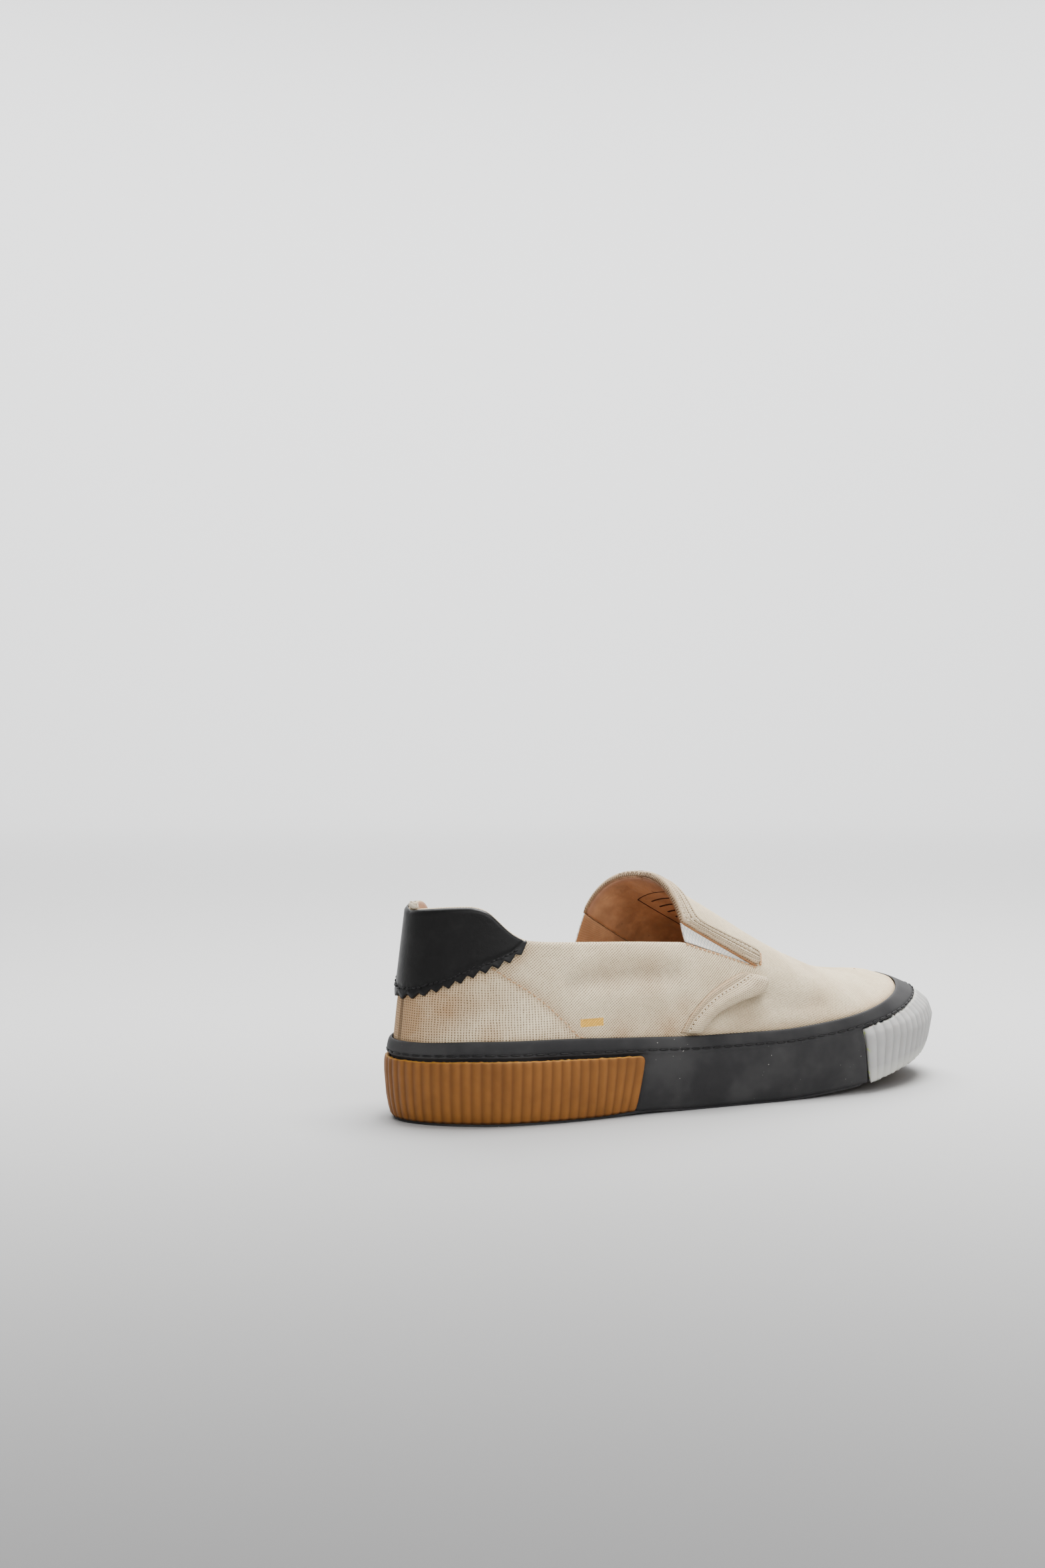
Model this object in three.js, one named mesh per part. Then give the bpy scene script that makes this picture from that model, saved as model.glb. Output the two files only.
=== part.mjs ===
// Slip-on canvas sneaker, right foot, in millimetres.
// X runs from the heel to the toe, -Y is the outer (lateral) side, Z is up from the ground.
import * as THREE from 'three';
import { mergeVertices } from 'three/addons/utils/BufferGeometryUtils.js';

// Driving dimensions
const length = 290;
const ballWidth = 101.5;
const heelHeight = 89.4;
const instepHeight = 100;
const wall = 2;
const gap = 0.3;

// Sole
const toeSpring = 14.8;
const springFrom = 0.58;
const archRise = 1;
const archFrom = 0.26;
const archTo = 0.44;
const seatDepth = 2.6;
const ribPitch = { heel: 4.4, toe: 5.8 };
const ribDepth = 0.9;
const bumperLift = 1.5;
const treadEdge = 1.2;
const treadCore = 3;
const treadRim = 6.5;
const grooveDepth = 1.6;
const insoleThickness = 3.5;
const toeClearance = 2;

// Upper and its overlays
const tabThickness = 1.3;
const toothPitch = 4.8;
const toothDepth = 3;
const bandThickness = 1.4;
const bandRise = 4.3;
const goreThickness = 1.2;

// The footprint at its widest level, a row for each station from heel to toe:
// at = share of the length, lateral and medial = half widths as shares of the ball width,
// rim = height of the rubber's top edge, bed = height of the footbed over the tread.
const footprint = [
  { at: 0.000, lateral: -0.056, medial: 0.056, rim: 34.7, bed: 14 },
  { at: 0.017, lateral: 0.099, medial: 0.200, rim: 35.0, bed: 14 },
  { at: 0.090, lateral: 0.291, medial: 0.354, rim: 36.2, bed: 14 },
  { at: 0.190, lateral: 0.379, medial: 0.398, rim: 36.1, bed: 14 },
  { at: 0.328, lateral: 0.409, medial: 0.375, rim: 34.2, bed: 13 },
  { at: 0.448, lateral: 0.435, medial: 0.372, rim: 32.7, bed: 12 },
  { at: 0.569, lateral: 0.472, medial: 0.408, rim: 32.6, bed: 11 },
  { at: 0.672, lateral: 0.500, medial: 0.465, rim: 34.9, bed: 10 },
  { at: 0.759, lateral: 0.500, medial: 0.500, rim: 38.0, bed: 9 },
  { at: 0.852, lateral: 0.425, medial: 0.489, rim: 41.4, bed: 8 },
  { at: 0.931, lateral: 0.286, medial: 0.406, rim: 44.0, bed: 8 },
  { at: 0.979, lateral: 0.132, medial: 0.279, rim: 45.3, bed: 8 },
  { at: 1.000, lateral: -0.095, medial: 0.095, rim: 45.9, bed: 8 },
];
const lastRow = footprint.length - 1;

// Section of the rubber wall from the ground up, at heel, side and toe:
// in = distance in from the widest level, up = share of the wall's height.
const wallRows = {
  low: { heel: { in: 0.9, up: 0.30 }, side: { in: 1.0, up: 0.30 }, toe: { in: 1.5, up: 0.22 } },
  belly: { heel: { in: 0.1, up: 0.58 }, side: { in: 0.1, up: 0.58 }, toe: { in: 0.0, up: 0.47 } },
  round: { heel: { in: 0.1, up: 0.71 }, side: { in: 0.1, up: 0.69 }, toe: { in: 2.4, up: 0.67 } },
  ledge: { heel: { in: 0.5, up: 0.785 }, side: { in: 0.4, up: 0.765 }, toe: { in: 8.4, up: 0.825 } },
  bead: { heel: { in: 0.9, up: 0.82 }, side: { in: 0.9, up: 0.80 }, toe: { in: 9.9, up: 0.855 } },
  groove: { heel: { in: 1.9, up: 0.84 }, side: { in: 1.8, up: 0.825 }, toe: { in: 11.2, up: 0.85 } },
  band: { heel: { in: 1.1, up: 0.865 }, side: { in: 0.9, up: 0.85 }, toe: { in: 12.0, up: 0.885 } },
  brim: { heel: { in: 2.2, up: 0.98 }, side: { in: 1.7, up: 0.98 }, toe: { in: 20.6, up: 0.995 } },
  rim: { heel: { in: 3.8, up: 1.0 }, side: { in: 3.1, up: 1.0 }, toe: { in: 22.8, up: 1.0 } },
};
const wallFootInset = { heel: 2.6, side: 2.4, toe: 4.6 };
const plainWallInset = 0.9;
const heelShare = 0.2;
const toeShareFrom = 0.68;
const toeShareBend = 1.3;

// Inner side of the cup below the rim, which the upper follows down to the footbed
const cupShoulder = { heel: 4.6, side: 4.3, toe: 12.2, up: 0.70 };
const cupFloor = { heel: 5.6, side: 5.4, toe: 7.2 };
const shoulderClearance = { heel: 0.6, side: 0.6, toe: 2.7 };

// Ridge of the last, a row for each station: q runs from -1 at the heel over 0 at the throat
// to 1 at the toe. On the quarters the ridge is the last above the collar, which cuts it off.
const ridge = [
  { q: -1.00, x: 40, z: 118 },
  { q: -0.50, x: 74, z: 113 },
  { q: -0.20, x: 104, z: 106 },
  { q: 0.00, x: 122, z: instepHeight },
  { q: 0.15, x: 144, z: 86 },
  { q: 0.30, x: 169, z: 70 },
  { q: 0.50, x: 201, z: 56.2 },
  { q: 0.70, x: 227, z: 50.6 },
  { q: 1.00, x: 249, z: 48.8 },
];
// Throat station of each side, counted in footprint rows
const throatRow = { lateral: 4.8, medial: 4.35 };
// Lean of the quarters for each millimetre up, and how square the section over the foot is
const quarterLean = 0.12;
const fullness = { throat: 2.45, toe: 2 };
const fullnessEnd = 0.3;
const vampFlatEnd = 0.8;
const quarterTurn = { from: -0.6, to: 0.02 };

// Top edge of the quarters and the lower edge of the heel tab
const collar = [
  { q: -1.00, z: heelHeight },
  { q: -0.80, z: heelHeight + 1.2 },
  { q: -0.64, z: heelHeight + 2.2 },
  { q: -0.59, z: heelHeight + 1.0 },
  { q: -0.48, z: 79.4 },
  { q: -0.44, z: 77.0 },
  { q: -0.34, z: 76.0 },
  { q: -0.19, z: 74.8 },
  { q: 0.00, z: 73.0 },
];
const tabHem = [
  { q: -1.00, z: 52.8 },
  { q: -0.86, z: 53.6 },
  { q: -0.72, z: 57.6 },
  { q: -0.62, z: 63.2 },
  { q: -0.52, z: 68.0 },
  { q: -0.475, z: 71.4 },
  { q: -0.45, z: 75.0 },
];
const tabEnd = 0.45;
// The collar dips lower on the inner side
const collarDrop = { lateral: 0, medial: 5.5 };
const collarDropRun = { from: -0.6, to: -0.35 };
const tabTopDrop = 1;
const tabLowestTop = 1;

// The elastic gore closes a notch between quarter and vamp, from the throat to its tip
const goreTip = 0.15;
const goreTopRear = 81.3;
const goreTipHeight = 60.6;
const goreSpan = { rear: 0.002, front: 0.118 };
// The mouth band's tip ahead of the gore's, and its width over the instep, as shares of the vamp
const bandTip = { inner: 0.012, outer: 0.032 };
const bandCorner = 0.036;

// Raised band on each side, from the gore's tip down to the rubber:
// ahead = distance in front of the throat, z = height, for its rear and its front edge.
const sideBandRows = [
  { rearAhead: 30, rearZ: 58.4, frontAhead: 39.5, frontZ: 56.6 },
  { rearAhead: 20, rearZ: 55.4, frontAhead: 31.5, frontZ: 50.6 },
  { rearAhead: 9.5, rearZ: 50.2, frontAhead: 22, frontZ: 46.4 },
  { rearAhead: 2, rearZ: 44, frontAhead: 13, frontZ: 41.4 },
  { rearAhead: -3, rearZ: 38, frontAhead: 7, frontZ: 36.8 },
  { rearAhead: -5.5, rearZ: 34, frontAhead: 2.8, frontZ: 33.6 },
];

const tiny = 1e-6;
const clamp01 = (value) => Math.min(Math.max(value, 0), 1);
const lerp = THREE.MathUtils.lerp;

// Value of a column between two rows, by a smooth curve that never overshoots its rows
function sample(rows, key, value, column) {
  const last = rows.length - 1;
  const x = Math.min(Math.max(value, rows[0][key]), rows[last][key]);
  let i = 0;
  while (i < last - 1 && x > rows[i + 1][key]) i += 1;
  const slope = (k) => (rows[k + 1][column] - rows[k][column]) / (rows[k + 1][key] - rows[k][key]);
  const tangent = (k) => {
    if (k === 0) return slope(0);
    if (k === last) return slope(last - 1);
    const [before, after] = [slope(k - 1), slope(k)];
    return before * after <= 0 ? 0 : (2 * before * after) / (before + after);
  };
  const width = rows[i + 1][key] - rows[i][key];
  const t = (x - rows[i][key]) / width;
  const [t2, t3] = [t * t, t * t * t];
  return (2 * t3 - 3 * t2 + 1) * rows[i][column] + (t3 - 2 * t2 + t) * width * tangent(i)
    + (3 * t2 - 2 * t3) * rows[i + 1][column] + (t3 - t2) * width * tangent(i + 1);
}

// Footprint curve, once round the shoe: heel, outer side, toe, inner side
const outlinePoints = [
  ...footprint.map((row) => new THREE.Vector3(row.at * length, -row.lateral * ballWidth, 0)),
  ...footprint.slice(1, lastRow).reverse()
    .map((row) => new THREE.Vector3(row.at * length, row.medial * ballWidth, 0)),
];
const outline = new THREE.CatmullRomCurve3(outlinePoints, true, 'centripetal');

// Place on the footprint of one side, at a row number that may lie between two rows
function station(side, row) {
  const turn = row / (2 * lastRow);
  const along = side === 'lateral' ? turn : (1 - turn) % 1;
  const point = outline.getPoint(along);
  const tangent = outline.getTangent(along);
  const at = clamp01(point.x / length);
  const numbered = footprint.map((entry, index) => ({ ...entry, index }));
  return {
    point,
    at,
    outward: new THREE.Vector3(tangent.y, -tangent.x, 0).normalize(),
    rim: sample(numbered, 'index', row, 'rim'),
    bed: sample(numbered, 'index', row, 'bed'),
    ground: treadHeight(at),
    heel: clamp01(1 - at / heelShare),
    toe: clamp01((at - toeShareFrom) / (1 - toeShareFrom)) ** toeShareBend,
  };
}

// Height of the tread over the ground: flat at heel and forefoot, raised at the arch and the toe
function treadHeight(at) {
  const arch = clamp01((at - archFrom) / (archTo - archFrom));
  const spring = clamp01((at - springFrom) / (1 - springFrom));
  return archRise * Math.sin(Math.PI * arch) ** 2 + toeSpring * spring ** 1.4;
}

const blend = (place, row) => lerp(lerp(row.side, row.heel, place.heel), row.toe, place.toe);

// Point of a station, a distance in from the footprint, at a height
function inset(place, distance, height) {
  const point = place.point.clone().addScaledVector(place.outward, -distance);
  point.z = height;
  return point;
}

// Named point of the rubber wall's section, moved in by an extra distance
function wallPoint(place, name, extra = 0) {
  const row = wallRows[name];
  const distance = blend(place, { heel: row.heel.in, side: row.side.in, toe: row.toe.in });
  const up = blend(place, { heel: row.heel.up, side: row.side.up, toe: row.toe.up });
  return inset(place, distance + extra, lerp(place.ground, place.rim, up));
}

const footInset = (place) => blend(place, wallFootInset);
const wallFoot = (place, extra) => inset(place, footInset(place) + extra, place.ground + bumperLift);

// Sheets and solids
// A sheet is a list of triangles, each with three points, faces outward.
function gridSheet(columns, closed = false) {
  const triangles = [];
  const count = closed ? columns.length : columns.length - 1;
  for (let i = 0; i < count; i += 1) {
    const here = columns[i];
    const next = columns[(i + 1) % columns.length];
    for (let j = 0; j < here.length - 1; j += 1) {
      triangles.push([here[j], next[j], next[j + 1]], [here[j], next[j + 1], here[j + 1]]);
    }
  }
  return triangles;
}

const flipped = (triangles) => triangles.map(([a, b, c]) => [a, c, b]);

// Strips across the shoe between the two halves of a ring of points, facing up or down
function capSheet(ring, facingUp) {
  const triangles = [];
  const half = ring.length / 2;
  const add = (a, b, c) => triangles.push(facingUp ? [a, b, c] : [a, c, b]);
  for (let i = 0; i < half; i += 1) {
    const [a, b] = [ring[i], ring[i + 1]];
    const [c, d] = [ring[(ring.length - i - 1) % ring.length], ring[(ring.length - i) % ring.length]];
    if (i > 0) add(a, b, d);
    if (i < half - 1) add(b, c, d);
  }
  return triangles;
}

// Indexed geometry of a list of triangles, with shared vertices and without flat slivers
function toGeometry(triangles) {
  const geometry = new THREE.BufferGeometry();
  geometry.setAttribute('position', new THREE.Float32BufferAttribute(
    triangles.flat().flatMap((point) => [point.x, point.y, point.z]), 3));
  const merged = mergeVertices(geometry, 1e-3);
  const index = merged.index.array;
  const kept = [];
  for (let i = 0; i < index.length; i += 3) {
    const [a, b, c] = [index[i], index[i + 1], index[i + 2]];
    if (a !== b && b !== c && c !== a) kept.push(a, b, c);
  }
  merged.setIndex(kept);
  return merged;
}

// Closed solid between two offsets of a sheet along its vertex normals
function thicken(triangles, outer, inner) {
  const sheet = toGeometry(triangles);
  sheet.computeVertexNormals();
  const position = sheet.attributes.position;
  const normal = sheet.attributes.normal;
  const index = sheet.index.array;
  const offset = (i, distance) => new THREE.Vector3().fromBufferAttribute(position, i)
    .addScaledVector(new THREE.Vector3().fromBufferAttribute(normal, i), distance);
  const top = Array.from({ length: position.count }, (_, i) => offset(i, outer));
  const bottom = Array.from({ length: position.count }, (_, i) => offset(i, inner));
  const edges = new Set();
  const solid = [];
  for (let i = 0; i < index.length; i += 3) {
    const [a, b, c] = [index[i], index[i + 1], index[i + 2]];
    solid.push([top[a], top[b], top[c]], [bottom[c], bottom[b], bottom[a]]);
    [[a, b], [b, c], [c, a]].forEach(([from, to]) => edges.add(`${from},${to}`));
  }
  edges.forEach((edge) => {
    const [from, to] = edge.split(',').map(Number);
    if (edges.has(`${to},${from}`)) return;
    solid.push([top[to], top[from], bottom[from]], [top[to], bottom[from], bottom[to]]);
  });
  return toGeometry(solid);
}

// Stations of the upper, by q; cup, insole and upper share them
const quarterSteps = 16;
const vampSteps = 20;
const stations = [
  ...Array.from({ length: quarterSteps }, (_, i) => i / quarterSteps - 1),
  ...Array.from({ length: vampSteps + 1 }, (_, i) => i / vampSteps),
];

function rowOf(side, q) {
  const throat = throatRow[side];
  return q < 0 ? throat * (1 + q) : throat + (lastRow - throat) * q;
}

// Middle line of the footprint, on which the ridge lies
function middle(x) {
  const offset = (row) => (row.medial - row.lateral) * ballWidth / 2;
  const rows = footprint.map((row) => ({ x: row.at * length, y: offset(row) }));
  return sample(rows, 'x', x, 'y');
}

const rimInset = (place) => gap
  + blend(place, { heel: wallRows.rim.heel.in, side: wallRows.rim.side.in, toe: wallRows.rim.toe.in });

// Outer surface of the last: t runs from 0 at the rubber's rim to 1 at the ridge,
// and down to -1 at the cup's shoulder and -2 at the footbed.
function upperPoint(side, q, t) {
  const place = station(side, rowOf(side, q));
  const floor = inset(place, blend(place, cupFloor) + 2 * gap, place.ground + place.bed + 4 * gap);
  const shoulder = inset(place, blend(place, cupShoulder) + blend(place, shoulderClearance),
    lerp(place.ground, place.rim, cupShoulder.up));
  const foot = inset(place, rimInset(place), place.rim);
  if (t < -1) return shoulder.lerp(floor, -1 - t);
  if (t < 0) return foot.lerp(shoulder, -t);
  const x = sample(ridge, 'q', q, 'x');
  const top = new THREE.Vector3(x, middle(x), sample(ridge, 'q', q, 'z'));
  const angle = t * Math.PI / 2;
  const power = 2 / lerp(fullness.throat, fullness.toe, clamp01(q / fullnessEnd));
  const fullUp = Math.sin(angle) ** power;
  const fullIn = 1 - Math.cos(angle) ** power;
  const flat = THREE.MathUtils.smoothstep(q, 0, vampFlatEnd);
  const up = lerp(fullUp, 1 - (1 - t) ** 2, flat);
  const point = foot.clone().lerp(top, lerp(fullIn, t, flat));
  point.z = lerp(foot.z, top.z, up);
  const wallBack = inset(place, rimInset(place) + quarterLean * (point.z - foot.z), point.z);
  return wallBack.lerp(point, THREE.MathUtils.smoothstep(q, quarterTurn.from, quarterTurn.to));
}

// Share t at which a station of the last reaches a height
function atHeight(side, q, height) {
  let [low, high] = [0, 1];
  for (let i = 0; i < 40; i += 1) {
    const mid = (low + high) / 2;
    if (upperPoint(side, q, mid).z < height) low = mid;
    else high = mid;
  }
  return low;
}

const collarHeight = (side, q) => sample(collar, 'q', q, 'z')
  - collarDrop[side] * THREE.MathUtils.smoothstep(q, collarDropRun.from, collarDropRun.to);
const goreBottom = (side, q) => lerp(collarHeight(side, 0), goreTipHeight, clamp01(q / goreTip));
const goreTop = (q) => lerp(goreTopRear, goreTipHeight, clamp01(q / goreTip));
// In front of the gore both panels meet at the share of its tip
const seamShare = (side) => atHeight(side, goreTip, goreTipHeight);

function quarterTop(side, q) {
  if (q < 0) return atHeight(side, q, collarHeight(side, q));
  return q < goreTip ? atHeight(side, q, goreBottom(side, q)) : seamShare(side);
}

function vampBottom(side, q) {
  return q < goreTip ? atHeight(side, q, goreTop(q)) : seamShare(side);
}

// Once round the shoe: outer side from heel to toe, inner side back to the heel
const round = [
  ...stations.map((q) => ({ side: 'lateral', q })),
  ...stations.slice(1, -1).reverse().map((q) => ({ side: 'medial', q })),
];

function makeUpper() {
  const rows = 4;
  const lower = round.map(({ side, q }) => [
    upperPoint(side, q, -2),
    upperPoint(side, q, -1),
    ...Array.from({ length: rows + 1 }, (_, j) => upperPoint(side, q, quarterTop(side, q) * j / rows)),
  ]);
  const vampColumns = (side) => stations.filter((q) => q >= 0).map((q) =>
    Array.from({ length: rows + 2 }, (_, j) =>
      upperPoint(side, q, lerp(vampBottom(side, q), 1, j / (rows + 1)))));
  return thicken([
    ...gridSheet(lower, true),
    ...gridSheet(vampColumns('lateral')),
    ...gridSheet(vampColumns('medial').reverse()),
  ], 0, -wall);
}

function makeGore(side) {
  const columns = [];
  const steps = 4;
  const edgeGap = gap / 2;
  for (let i = 0; i <= steps; i += 1) {
    const q = lerp(goreSpan.rear, goreSpan.front, i / steps);
    const low = atHeight(side, q, goreBottom(side, q) + gap + edgeGap);
    const high = atHeight(side, q, goreTop(q) - gap - edgeGap);
    columns.push([low, (low + high) / 2, high].map((t) => upperPoint(side, q, t)));
  }
  if (side === 'medial') columns.reverse();
  return thicken(gridSheet(columns), -gap, -gap - goreThickness);
}

// Values from one end of a path to the other, an even distance apart, two for each pitch
function evenSteps(pointAt, from, to, pitch) {
  const parts = 200;
  const fine = Array.from({ length: parts + 1 }, (_, i) => lerp(from, to, i / parts));
  const run = [0];
  fine.slice(1).forEach((value, i) => run.push(run[i] + pointAt(value).distanceTo(pointAt(fine[i]))));
  const total = run[run.length - 1];
  const count = 2 * Math.round(total / pitch);
  return Array.from({ length: count + 1 }, (_, step) => {
    const distance = total * step / count;
    const i = Math.max(1, run.findIndex((value) => value >= distance - tiny));
    return lerp(fine[i - 1], fine[i], (distance - run[i - 1]) / (run[i] - run[i - 1]));
  });
}

// Leather tab round the heel with a pinked hem; its steps run from the inner to the outer side
function makeHeelTab() {
  const sideOf = (turn) => (turn < 0 ? 'medial' : 'lateral');
  const reach = 1 - tabEnd;
  const middleHeight = (turn) => upperPoint(sideOf(turn), Math.abs(turn) - 1, 0.4);
  const columns = evenSteps(middleHeight, -reach, reach, toothPitch).map((turn, step) => {
    const side = sideOf(turn);
    const q = Math.abs(turn) - 1;
    const tooth = (step % 2 === 0 ? 0.5 : -0.5) * toothDepth;
    const hem = sample(tabHem, 'q', q, 'z') + tooth;
    const top = Math.max(collarHeight(side, q) - tabTopDrop, hem + tabLowestTop);
    return [0, 0.35, 0.7, 1].map((share) => upperPoint(side, q, atHeight(side, q, lerp(hem, top, share))));
  });
  return thicken(gridSheet(columns), gap + tabThickness, gap);
}

// Station and share of the point of one side at a distance along and a height
function locate(side, x, height) {
  let [low, high] = [-0.6, 0.6];
  for (let i = 0; i < 30; i += 1) {
    const mid = (low + high) / 2;
    if (upperPoint(side, mid, atHeight(side, mid, height)).x < x) low = mid;
    else high = mid;
  }
  return { q: low, t: atHeight(side, low, height) };
}

// Strip on the upper between two paths of stations and shares
function makeStrip(side, paths, steps, thickness) {
  const columns = paths.map(({ rear, front }) =>
    Array.from({ length: steps + 1 }, (_, j) => upperPoint(side,
      lerp(front.q, rear.q, j / steps), lerp(front.t, rear.t, j / steps))));
  const sheet = gridSheet(columns);
  return thicken(side === 'lateral' ? flipped(sheet) : sheet, gap + thickness, gap);
}

function makeSideBand(side) {
  const throat = station(side, throatRow[side]).point.x;
  const steps = 14;
  const rows = sideBandRows.map((row, index) => ({ ...row, index }));
  const paths = Array.from({ length: steps + 1 }, (_, i) => {
    const at = (rows.length - 1) * i / steps;
    const value = (column) => sample(rows, 'index', at, column);
    return {
      rear: locate(side, throat + value('rearAhead'), value('rearZ')),
      front: locate(side, throat + value('frontAhead'), value('frontZ')),
    };
  });
  return makeStrip(side, paths, 3, bandThickness);
}

// Band round the vamp's mouth: along the top of the gore, over the instep and down to the other gore
function makeMouthBand() {
  const half = (side) => {
    const columns = [];
    const goreSteps = 6;
    for (let i = 0; i < goreSteps; i += 1) {
      const inner = lerp(goreTip + bandTip.inner, 0, i / goreSteps);
      const outer = lerp(goreTip + bandTip.outer, bandCorner, i / goreSteps);
      const outerHeight = lerp(goreTipHeight, goreTop(bandCorner), i / goreSteps) + bandRise;
      columns.push({
        inner: { q: inner, t: atHeight(side, inner, goreTop(inner)) },
        outer: { q: outer, t: atHeight(side, outer, outerHeight) },
      });
    }
    const throatSteps = 7;
    const innerStart = atHeight(side, 0, goreTopRear);
    const outerStart = atHeight(side, bandCorner, goreTop(bandCorner) + bandRise);
    for (let i = 0; i <= throatSteps; i += 1) {
      columns.push({
        inner: { q: 0, t: lerp(innerStart, 1, i / throatSteps) },
        outer: { q: bandCorner, t: lerp(outerStart, 1, i / throatSteps) },
      });
    }
    return columns.map(({ inner, outer }) => [0, 0.5, 1].map((share) =>
      upperPoint(side, lerp(inner.q, outer.q, share), lerp(inner.t, outer.t, share))));
  };
  const lateral = half('lateral');
  const medial = half('medial').reverse().slice(1);
  return thicken(flipped(gridSheet([...lateral, ...medial])), gap + bandThickness, gap);
}

// Counted in footprint rows: where the two bumpers end, the clearance and the step of their seats,
// the grooves in the tread and their sizes, and the plain stations of the tread between them
const bumperRow = { heel: 4.08, toe: 7.75 };
const bumperEndGap = 0.02;
const seatStep = 0.012;
const grooveRows = [1.5, 2.1, 2.7, 6.1, 6.9, 7.7, 8.5, 9.3, 10.2];
const groove = { half: 0.055, wall: 0.004 };
const treadRows = [0, 0.3, 0.65, 1, 3.5, 4, 4.5, 5, 11.4, 11.75, lastRow];
// How far a bumper's top runs from the ledge down to the round
const bumperTopDrop = 0.15;

// Ring of the cup: the upper's stations, and two at each end of a bumper's seat
function cupStations() {
  const rows = (side) => {
    const { heel, toe } = bumperRow;
    const plain = stations.map((q) => rowOf(side, q));
    const ends = [heel, heel + seatStep, toe - seatStep, toe];
    return [...plain, ...ends].sort((a, b) => a - b).map((row) => ({
      side,
      row,
      seat: row <= heel || row >= toe ? seatDepth : plainWallInset,
    }));
  };
  return [...rows('lateral'), ...rows('medial').slice(1, -1).reverse()];
}

function makeCupsole() {
  const ring = cupStations();
  const columns = ring.map(({ side, row, seat }) => {
    const place = station(side, row);
    const coreInset = footInset(place) + treadRim;
    return [
      inset(place, coreInset, place.ground + treadCore + gap),
      inset(place, coreInset, place.ground + bumperLift),
      wallFoot(place, seat),
      ...['low', 'belly', 'round', 'ledge'].map((name) => wallPoint(place, name, seat)),
      ...['bead', 'groove', 'band', 'brim', 'rim'].map((name) => wallPoint(place, name)),
      inset(place, blend(place, cupShoulder), lerp(place.ground, place.rim, cupShoulder.up)),
      inset(place, blend(place, cupFloor), place.ground + place.bed),
    ];
  });
  const first = columns.map((column) => column[0]);
  const last = columns.map((column) => column[column.length - 1]);
  return toGeometry([
    ...gridSheet(columns, true),
    ...capSheet(first, false),
    ...capSheet(last, true),
  ]);
}

// Rubber bumper round the heel or the toe, ribbed from its top to its foot;
// its steps count away from the middle of the heel or toe, negative on the side that comes first.
function makeBumper(end) {
  const [first, second] = end === 'heel' ? ['medial', 'lateral'] : ['lateral', 'medial'];
  const middleRow = end === 'heel' ? 0 : lastRow;
  const placeAt = (away) => station(away < 0 ? first : second, Math.abs(middleRow - Math.abs(away)));
  const reach = Math.abs(middleRow - bumperRow[end]) - bumperEndGap;
  const steps = evenSteps((away) => placeAt(away).point, -reach, reach, ribPitch[end]);
  const columns = steps.map((away, step) => {
    const place = placeAt(away);
    const valley = step % 2 === 0 ? ribDepth : 0;
    const top = (extra) => wallPoint(place, 'ledge', extra)
      .lerp(wallPoint(place, 'round', extra), bumperTopDrop);
    const rows = ['low', 'belly', 'round'];
    return [
      wallFoot(place, valley),
      ...rows.map((name) => wallPoint(place, name, valley)),
      top(valley / 2),
      top(seatDepth - gap),
      ...rows.slice().reverse().map((name) => wallPoint(place, name, seatDepth - gap)),
      wallFoot(place, seatDepth - gap),
    ];
  });
  const endCap = (column) => Array.from({ length: column.length / 2 - 1 }, (_, j) => {
    const [a, b] = [column[j], column[j + 1]];
    const [c, d] = [column[column.length - 2 - j], column[column.length - 1 - j]];
    return [[a, b, c], [a, c, d]];
  }).flat();
  return toGeometry([
    ...gridSheet(columns.map((column) => [...column, column[0]])),
    ...endCap(columns[0]),
    ...flipped(endCap(columns[columns.length - 1])),
  ]);
}

function makeInsole() {
  const ring = round.map(({ side, q }) => {
    const place = station(side, rowOf(side, q));
    const distance = blend(place, cupFloor) + wall + 4 * gap + toeClearance * place.toe;
    const height = place.ground + place.bed + 2 * gap;
    return {
      bottom: inset(place, distance, height),
      top: inset(place, distance + gap, height + insoleThickness),
    };
  });
  return toGeometry([
    ...gridSheet(ring.map(({ bottom, top }) => [bottom, top]), true),
    ...capSheet(ring.map(({ bottom }) => bottom), false),
    ...capSheet(ring.map(({ top }) => top), true),
  ]);
}

// Tread plate: a thin edge under the wall, a thicker core and grooves across heel and forefoot
function makeOutsole() {
  const plain = treadRows.map((row) => ({ row, cut: 0 }));
  const grooves = grooveRows.flatMap((row) => [
    { row: row - groove.half - groove.wall, cut: 0 },
    { row: row - groove.half, cut: grooveDepth },
    { row: row + groove.half, cut: grooveDepth },
    { row: row + groove.half + groove.wall, cut: 0 },
  ]);
  const columns = [...plain, ...grooves].sort((a, b) => a.row - b.row).map(({ row, cut }) => {
    const [outer, inner] = ['lateral', 'medial'].map((side) => {
      const place = station(side, row);
      const at = (distance, height) => inset(place, footInset(place) + distance, place.ground + height);
      return [
        at(0, 0),
        at(treadRim, 0),
        at(treadRim + gap, cut),
        at(treadRim + 3 * gap, treadCore),
        at(treadRim + 3 * gap, treadEdge),
        at(0, treadEdge),
      ];
    });
    const [edge, rim, field, coreTop, coreFoot, edgeTop] = [0, 1, 2, 3, 4, 5];
    return [
      inner[edge], inner[rim], inner[field], outer[field], outer[rim], outer[edge],
      outer[edgeTop], outer[coreFoot], outer[coreTop], inner[coreTop], inner[coreFoot], inner[edgeTop],
      inner[edge],
    ];
  });
  return toGeometry(gridSheet(columns));
}

function paint(color, roughness) {
  return new THREE.MeshStandardMaterial({ color, roughness, metalness: 0 });
}

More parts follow.
